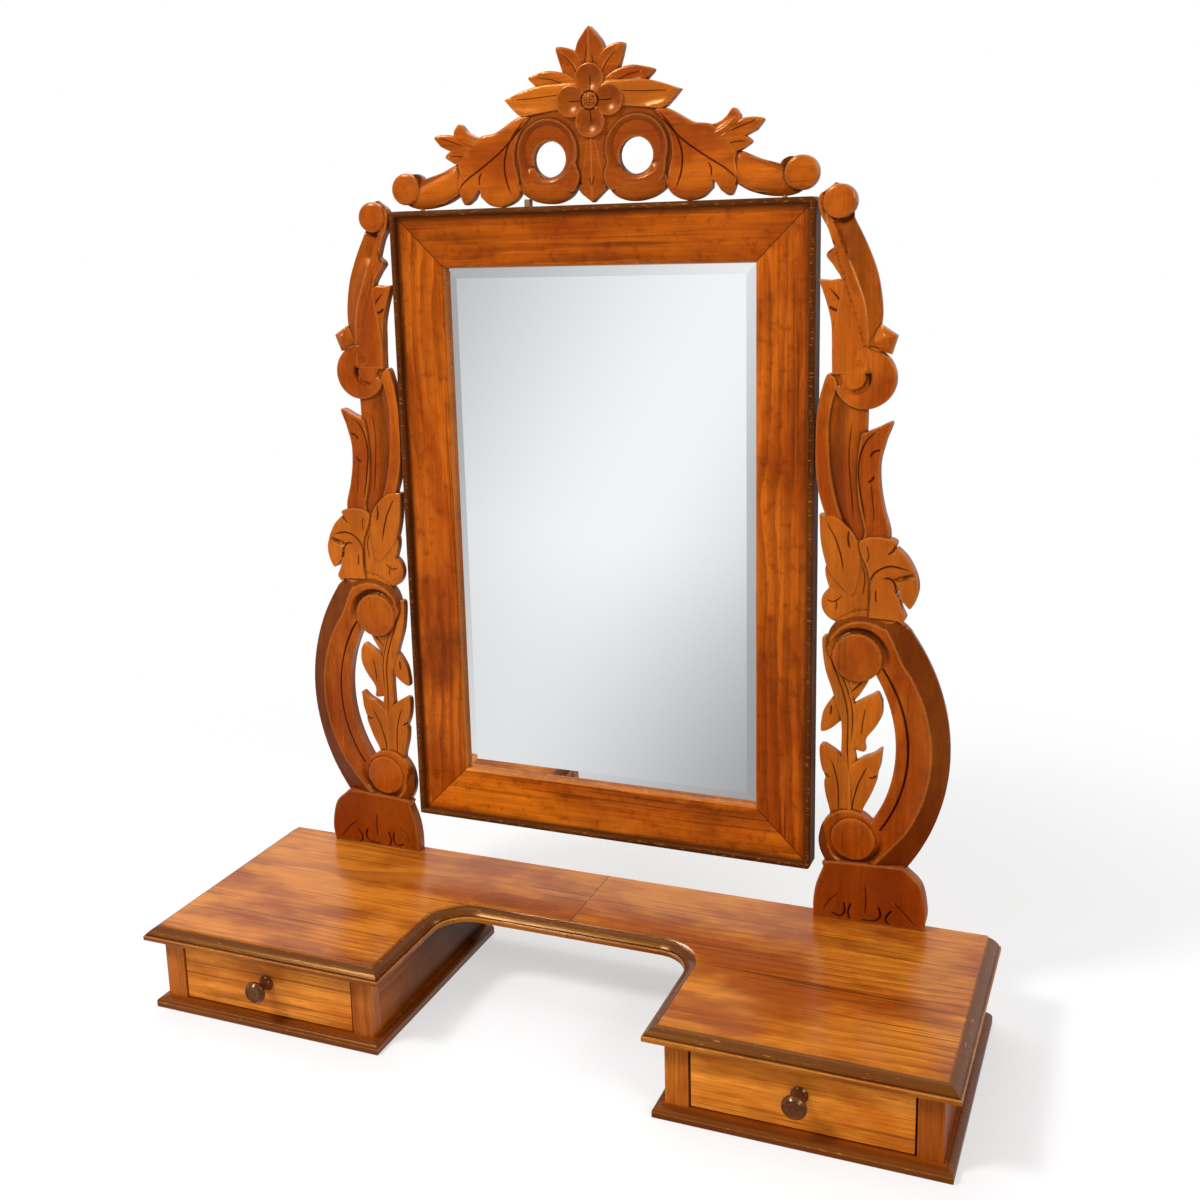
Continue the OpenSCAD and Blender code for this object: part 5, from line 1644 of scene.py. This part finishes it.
@dataclass
class Base:
    """The two tops, the wings, the rail and the drawers."""

    pale: Colour = (0.64, 0.205, 0.018)
    mid: Colour = (0.36, 0.075, 0.004)
    deep: Colour = (0.17, 0.030, 0.003)

    def dress(self, dresser: Dresser) -> None:
        """Gives every piece of the base its wood."""
        self.dress_tops(dresser)
        dresser.dress(Wood("rail_wood", **self.inner_wood(), seed=1.0), "back_rail", "seam_batten")
        for n, side in enumerate(("left", "right")):
            self.dress_wing(dresser, side, n)
            self.dress_drawer(dresser, side, n)
        dresser.dress(Metal(), "support_screws")

    @staticmethod
    def inner_wood() -> dict:
        """Returns the bare wood of hidden pieces."""
        return dict(grain=Grain.ALONG_X, pale=(0.52, 0.34, 0.18), mid=(0.44, 0.27, 0.13),
                    deep=(0.28, 0.15, 0.07), gloss=0.62, coat=0.0, bump=0.25)

    def dress_tops(self, dresser: Dresser) -> None:
        """Gives the two halves of the top their streaky polished wood."""
        top = dict(grain=Grain.ALONG_X, pale=self.pale, mid=self.mid, deep=self.deep,
                   detail=Detail.TOP_EDGE, gloss=0.24, sheen=0.4, streak_force=1.0,
                   ring_force=0.45, smoke_force=0.7)
        dresser.dress(Wood("top_left_wood", seed=3.1, rings=120, pith=(0.05, 0.02), **top), "top_left")
        dresser.dress(Wood("top_right_wood", seed=8.4, rings=105, pith=(-0.06, 0.03), **top), "top_right")

    def dress_wing(self, dresser: Dresser, side: str, n: int) -> None:
        """Gives a wing's boards and stiles their wood.

        Args:
            dresser: what puts it on.
            side: left or right.
            n: 0 for the left wing and 1 for the right.
        """
        edge = dict(grain=Grain.ALONG_X, pale=self.mid, mid=self.mid, deep=self.deep,
                    detail=Detail.BOARD_EDGE, gloss=0.25)
        panel = dict(grain=Grain.ALONG_Y, pale=(0.34, 0.085, 0.008), mid=(0.22, 0.042, 0.003),
                     deep=(0.10, 0.018, 0.002))
        stile = dict(grain=Grain.ALONG_Z, pale=(0.49, 0.130, 0.012), mid=(0.34, 0.07, 0.005),
                     deep=self.deep)
        dresser.dress(Wood(f"{side}_board_wood", seed=2.0 + n, **edge), f"{side}_bottom_board")
        dresser.dress(Wood(f"{side}_side_wood", seed=5.0 + n, **panel), f"{side}_outer_side")
        dresser.dress(Wood(f"{side}_recess_wood", seed=17.0 + n, detail=Detail.RECESS, sheen=0.12,
                           coat=0.0, **panel), f"{side}_inner_side")
        dresser.dress(Wood(f"{side}_outer_stile_wood", seed=7.0 + n, **stile), f"{side}_outer_stile")
        dresser.dress(Wood(f"{side}_inner_stile_wood", seed=9.0 + n, **stile), f"{side}_inner_stile")

    def dress_drawer(self, dresser: Dresser, side: str, n: int) -> None:
        """Gives a drawer's front, knob and box their wood.

        Args:
            dresser: what puts it on.
            side: left or right.
            n: 0 for the left drawer and 1 for the right.
        """
        front = dict(grain=Grain.ALONG_X, pale=(0.80, 0.27, 0.028), mid=(0.54, 0.135, 0.008),
                     deep=(0.27, 0.055, 0.004), ring_force=0.35, streak_force=0.8, smoke_force=0.6)
        knob = dict(grain=Grain.ALONG_Y, pale=(0.12, 0.036, 0.010), mid=(0.08, 0.022, 0.006),
                    deep=(0.05, 0.014, 0.005), gloss=0.2, sheen=0.5, coat=0.15, rings=160)
        low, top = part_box(f"{side}_drawer_knob")
        axis = ((low.x + top.x) / 2, (low.z + top.z) / 2)
        dresser.dress(Wood(f"{side}_front_wood", seed=11.0 + 2.7 * n, pith=(0.0, 0.19 - 0.3 * n), **front),
                      f"{side}_drawer_front")
        box = ("outer_side", "inner_side", "back", "bottom")
        dresser.dress(Wood(f"{side}_inner_wood", seed=13.0 + n, **self.inner_wood()), f"{side}_back_panel",
                      f"{side}_drawer_guides", *(f"{side}_drawer_{piece}" for piece in box))
        dresser.dress(Wood(f"{side}_knob_wood", seed=15.0 + n, pith=axis, detail=Detail.KNOB, **knob),
                      f"{side}_drawer_knob")


@dataclass
class MirrorFrame:
    """The tilting frame with its glass and its carved crest."""

    pale: Colour = (0.52, 0.108, 0.005)
    mid: Colour = (0.31, 0.046, 0.001)
    deep: Colour = (0.09, 0.011, 0.001)

    def dress(self, dresser: Dresser) -> None:
        """Gives the frame its wood, glass, metal and leather."""
        self.dress_flats(dresser)
        self.dress_strips(dresser)
        bare = dict(grain=Grain.ALONG_Z, pale=(0.42, 0.27, 0.14), mid=(0.36, 0.21, 0.10),
                    deep=(0.22, 0.12, 0.06), gloss=0.62, coat=0.0, bump=0.25)
        dresser.dress(Wood("back_board_wood", seed=35.0, **bare), "back_board", "crest_block", "crest_dowels")
        dresser.dress(SilveredGlass(), "mirror_glass")
        dresser.dress(Metal(), "back_board_pins", "pivot_pins")
        dresser.dress(Leather(), "pivot_washers")

    def dress_flats(self, dresser: Dresser) -> None:
        """Gives the flat stiles and rails their mottled wood, the lower rail the palest."""
        flat = dict(deep=self.deep, detail=Detail.MITRES, gloss=0.26, rings=75, ring_force=0.45,
                    streak_force=0.6, smoke_force=0.6, swirl=0.014, mottle=0.5)
        for n, side in enumerate(("left", "right")):
            dresser.dress(Wood(f"{side}_flat_wood", Grain.ALONG_Z, self.pale, self.mid, seed=21.0 + 3 * n,
                               pith=(0.26 - 0.52 * n, 0.12), **flat), f"frame_{side}_stile")
        rails = {"top": ((0.40, 0.078, 0.003), (0.25, 0.036, 0.001)),
                 "bottom": ((0.62, 0.15, 0.006), (0.42, 0.078, 0.002))}
        for n, (side, shades) in enumerate(rails.items()):
            dresser.dress(Wood(f"{side}_flat_wood", Grain.ALONG_X, *shades, seed=27.0 + 3 * n,
                               pith=(0.1, 0.90 - 0.72 * n), **flat), f"frame_{side}_rail")

    @staticmethod
    def dress_strips(dresser: Dresser) -> None:
        """Gives the raised edge strips their dark wood."""
        strip = dict(pale=(0.12, 0.03, 0.006), mid=(0.08, 0.02, 0.004), deep=(0.04, 0.010, 0.002),
                     detail=Detail.STRIP, gloss=0.45, sheen=0.1, coat=0.0)
        upright = Wood("upright_strip_wood", Grain.ALONG_Z, seed=31.0, **strip)
        level = Wood("level_strip_wood", Grain.ALONG_X, seed=33.0, **strip)
        dresser.dress(upright, "edge_left", "edge_right")
        dresser.dress(level, "edge_top", "edge_bottom")

    def carved(self, grain: Grain, name: str, seed: float) -> Wood:
        """Returns the wood of a carving."""
        return Wood(name, grain, pale=(0.49, 0.100, 0.004), mid=(0.30, 0.042, 0.001),
                    deep=(0.10, 0.012, 0.001), detail=Detail.CARVED, seed=seed, rings=60, ring_force=0.2,
                    streak_force=0.4, smoke_force=0.6, fleck=0.3, mottle=0.3, gloss=0.25, sheen=0.5,
                    coat=0.08, bump=0.08)


# ---------------------------------------------------------------------------- studio

@dataclass
class Studio:
    """Floor, light and camera, in metres and watts.

    Attributes:
        eye: where the camera stands.
        yaw: how far it looks to the left, in radians.
        pitch: how far it looks up.
        roll: how far it leans to the right.
        focal_px: its focal length in pixels of a square image.
        centre_px: the place in that image, across and down, that the camera looks at.
        image_px: the width of the image.
        sensor: the width of the camera's sensor in millimetres.
        floor_reach: how far the floor and the wall reach.
        floor_low: the height of the floor, a hair under the feet.
        wall_back: where the wall stands.
        wall_high: how high it is.
        soft_light: the strength of the world's light.
        band_dark: how bright the glass shows the wall beside the pale band.
        band_more: how much brighter the band is.
        band_wall: where the band runs on the wall: its place at the origin, what a metre across
            adds and what a metre up takes away.
        band_floor: how the band fans out on the floor: its place straight ahead, what a metre
            across adds, what is taken off that, and how far back the fan's point lies.
    """

    eye: tuple[float, float, float] = (0.58660, -1.33607, 0.86064)
    yaw: float = 0.4127
    pitch: float = -0.2217
    roll: float = -0.0316
    focal_px: float = 1444.47
    centre_px: float = 550.0
    image_px: float = 1200.0
    sensor: float = 36.0
    floor_reach: float = 14.0
    floor_low: float = -0.0004
    wall_back: float = -3.2
    wall_high: float = 5.0
    soft_light: float = 0.36
    band_dark: float = 0.44
    band_more: float = 0.60
    band_wall: tuple[float, float, float] = (0.9957, 0.8513, 0.5108)
    band_floor: tuple[float, float, float, float] = (1.056, 4.1, 0.29, 1.616)

    def camera(self) -> None:
        """Stands the camera where the photograph was taken from."""
        forward = Vector((-math.sin(self.yaw) * math.cos(self.pitch),
                          math.cos(self.yaw) * math.cos(self.pitch), math.sin(self.pitch)))
        right = Vector((math.cos(self.yaw), math.sin(self.yaw), 0))
        up = right.cross(forward)
        across = right * math.cos(self.roll) + up * math.sin(self.roll)
        upward = up * math.cos(self.roll) - right * math.sin(self.roll)
        data = bpy.data.cameras.new("studio_camera")
        data.sensor_width = self.sensor
        data.lens = self.focal_px / self.image_px * self.sensor
        shift = (self.image_px / 2 - self.centre_px) / self.image_px
        data.shift_x, data.shift_y = shift, -shift
        made = self.stand(bpy.data.objects.new("studio_camera", data))
        columns = Matrix((across, upward, -forward)).transposed()
        made.matrix_world = Matrix.Translation(self.eye) @ columns.to_4x4()
        bpy.context.scene.camera = made

    @staticmethod
    def stand(made: bpy.types.Object) -> bpy.types.Object:
        """Puts an object into the scene and returns it."""
        bpy.context.scene.collection.objects.link(made)
        return made

    def lamp(self, name: str, place: Sequence[float], aim: Sequence[float], size: float,
             power: float) -> None:
        """Hangs a soft square lamp.

        Args:
            name: its name.
            place: where it hangs.
            aim: the point that it lights.
            size: the length of its side.
            power: its power.
        """
        data = bpy.data.lights.new(name, "AREA")
        data.size = size
        data.energy = power
        made = self.stand(bpy.data.objects.new(name, data))
        made.location = place
        made.rotation_euler = (Vector(aim) - Vector(place)).to_track_quat("-Z", "Y").to_euler()

    def sheet(self, name: str, corners: Sequence[Sequence[float]], shader: Shader) -> None:
        """Sets up a flat sheet that is part of the studio and not of the object.

        Args:
            name: its name.
            corners: its four corners.
            shader: its finished shader.
        """
        mesh = bpy.data.meshes.new(name)
        mesh.from_pydata(corners, [], [(0, 1, 2, 3)])
        mesh.materials.append(shader.owner)
        made = self.stand(bpy.data.objects.new(name, mesh))

    def floor(self) -> None:
        """Lays the pale floor, which shows white and keeps the shadow, and shows the glass a painted band of
        light.
        """
        s = Shader.of_material("studio_floor")
        seen = s.ray("Camera") + s.ray("Transmission")
        x, y, _ = s.split(s.place())
        matt = s.node("ShaderNodeBsdfPrincipled", None, {"Base Color": (0.86, 0.86, 0.86), "Roughness": 0.9},
                      out="BSDF")
        lit = s.blend(0.5, matt, s.glow((1.0, 1.0, 1.0), 1.06))
        away = ((x * x + (y - 0.05) * (y - 0.05)) ** 0.5).rise(0.55, 1.3)
        plain = s.blend(away, lit, s.glow((1.0, 1.0, 1.0)))
        place, more, off, point = self.band_floor
        fan = place + (x * more - off) / (point - y)
        # For glossy rays the floor glows with a painted band of light for the glass to reflect.
        shade = self.band(s, fan, 0.84 + 0.16 * y.fall(-2.2, -0.4))
        s.end(s.blend(s.ray("Glossy"), s.blend(seen, matt, plain), shade))
        reach, low = self.floor_reach, self.floor_low
        self.sheet("studio_floor", [(-reach, -reach, low), (reach, -reach, low), (reach, reach, low),
                                    (-reach, reach, low)], s)

    def band(self, s: Shader, across: Wire, force: Value = 1.0) -> Wire:
        """Returns the pale light that the glass shows, brightest in a band.

        Args:
            s: the shader.
            across: the place across the band, 0 at its middle.
            force: what the light is multiplied by.

        Returns:
            The light.
        """
        pale = across.within((-1.5, 0.05), (0.05, 1.2))
        return s.glow(s.grey((self.band_dark + self.band_more * pale) * force))

    def wall(self) -> None:
        """Stands a pale wall far in front, which only reflections show, glowing with a painted band of light.
        """
        s = Shader.of_material("studio_wall")
        x, _, z = s.split(s.place())
        clear = s.node("ShaderNodeBsdfTransparent")
        place, more, less = self.band_wall
        s.end(s.blend(s.ray("Glossy"), clear, self.band(s, place + more * x - less * z)))
        reach, back, high = self.floor_reach, self.wall_back, self.wall_high
        self.sheet("studio_wall", [(-reach, back, 0), (reach, back, 0), (reach, back, high),
                                   (-reach, back, high)], s)

    def world(self) -> None:
        """Fills the room with soft light, white where it is seen."""
        world = bpy.data.worlds.new("studio")
        bpy.context.scene.world = world
        s = Shader(world)
        seen = s.ray("Camera").larger(s.ray("Glossy").larger(s.ray("Transmission")))
        light, white = (s.node("ShaderNodeBackground", None, {"Color": colour, "Strength": strength})
                        for colour, strength in (((1.0, 0.985, 0.97), self.soft_light),
                                                 ((1.0, 1.0, 1.0), 1.0)))
        s.end(s.blend(seen, light, white))

    def build(self) -> None:
        """Sets the whole studio up."""
        self.camera()
        self.floor()
        self.wall()
        self.world()
        self.lamp("key_lamp", (-1.5, -1.7, 2.7), (0, 0, 0.5), 0.7, 78)
        self.lamp("side_lamp", (2.0, -1.2, 1.6), (0.2, 0, 0.2), 0.8, 25)
        self.lamp("top_lamp", (-0.5, 0.9, 2.4), (0, 0, 0.2), 1.6, 22)
        bpy.context.scene.view_settings.view_transform = "Standard"
        log.info("studio is set up")


def main() -> None:
    """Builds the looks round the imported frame, in order."""
    logging.basicConfig(level=logging.INFO, format="%(name)s: %(message)s")
    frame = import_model()
    Studio().build()
    dresser = Dresser(frame["nodes"])
    Base().dress(dresser)
    mirror = MirrorFrame()
    mirror.dress(dresser)
    for n, side in enumerate(("left", "right")):
        carving = Support().build(side)
        dresser.dress(mirror.carved(Grain.ALONG_Z, f"{side}_support_wood", 41.0 + 5 * n), carving)
    for piece in Crest().build():
        dresser.dress(mirror.carved(Grain.ALONG_X, "crest_wood", 51.0), piece)


if __name__ == "__main__":
    main()
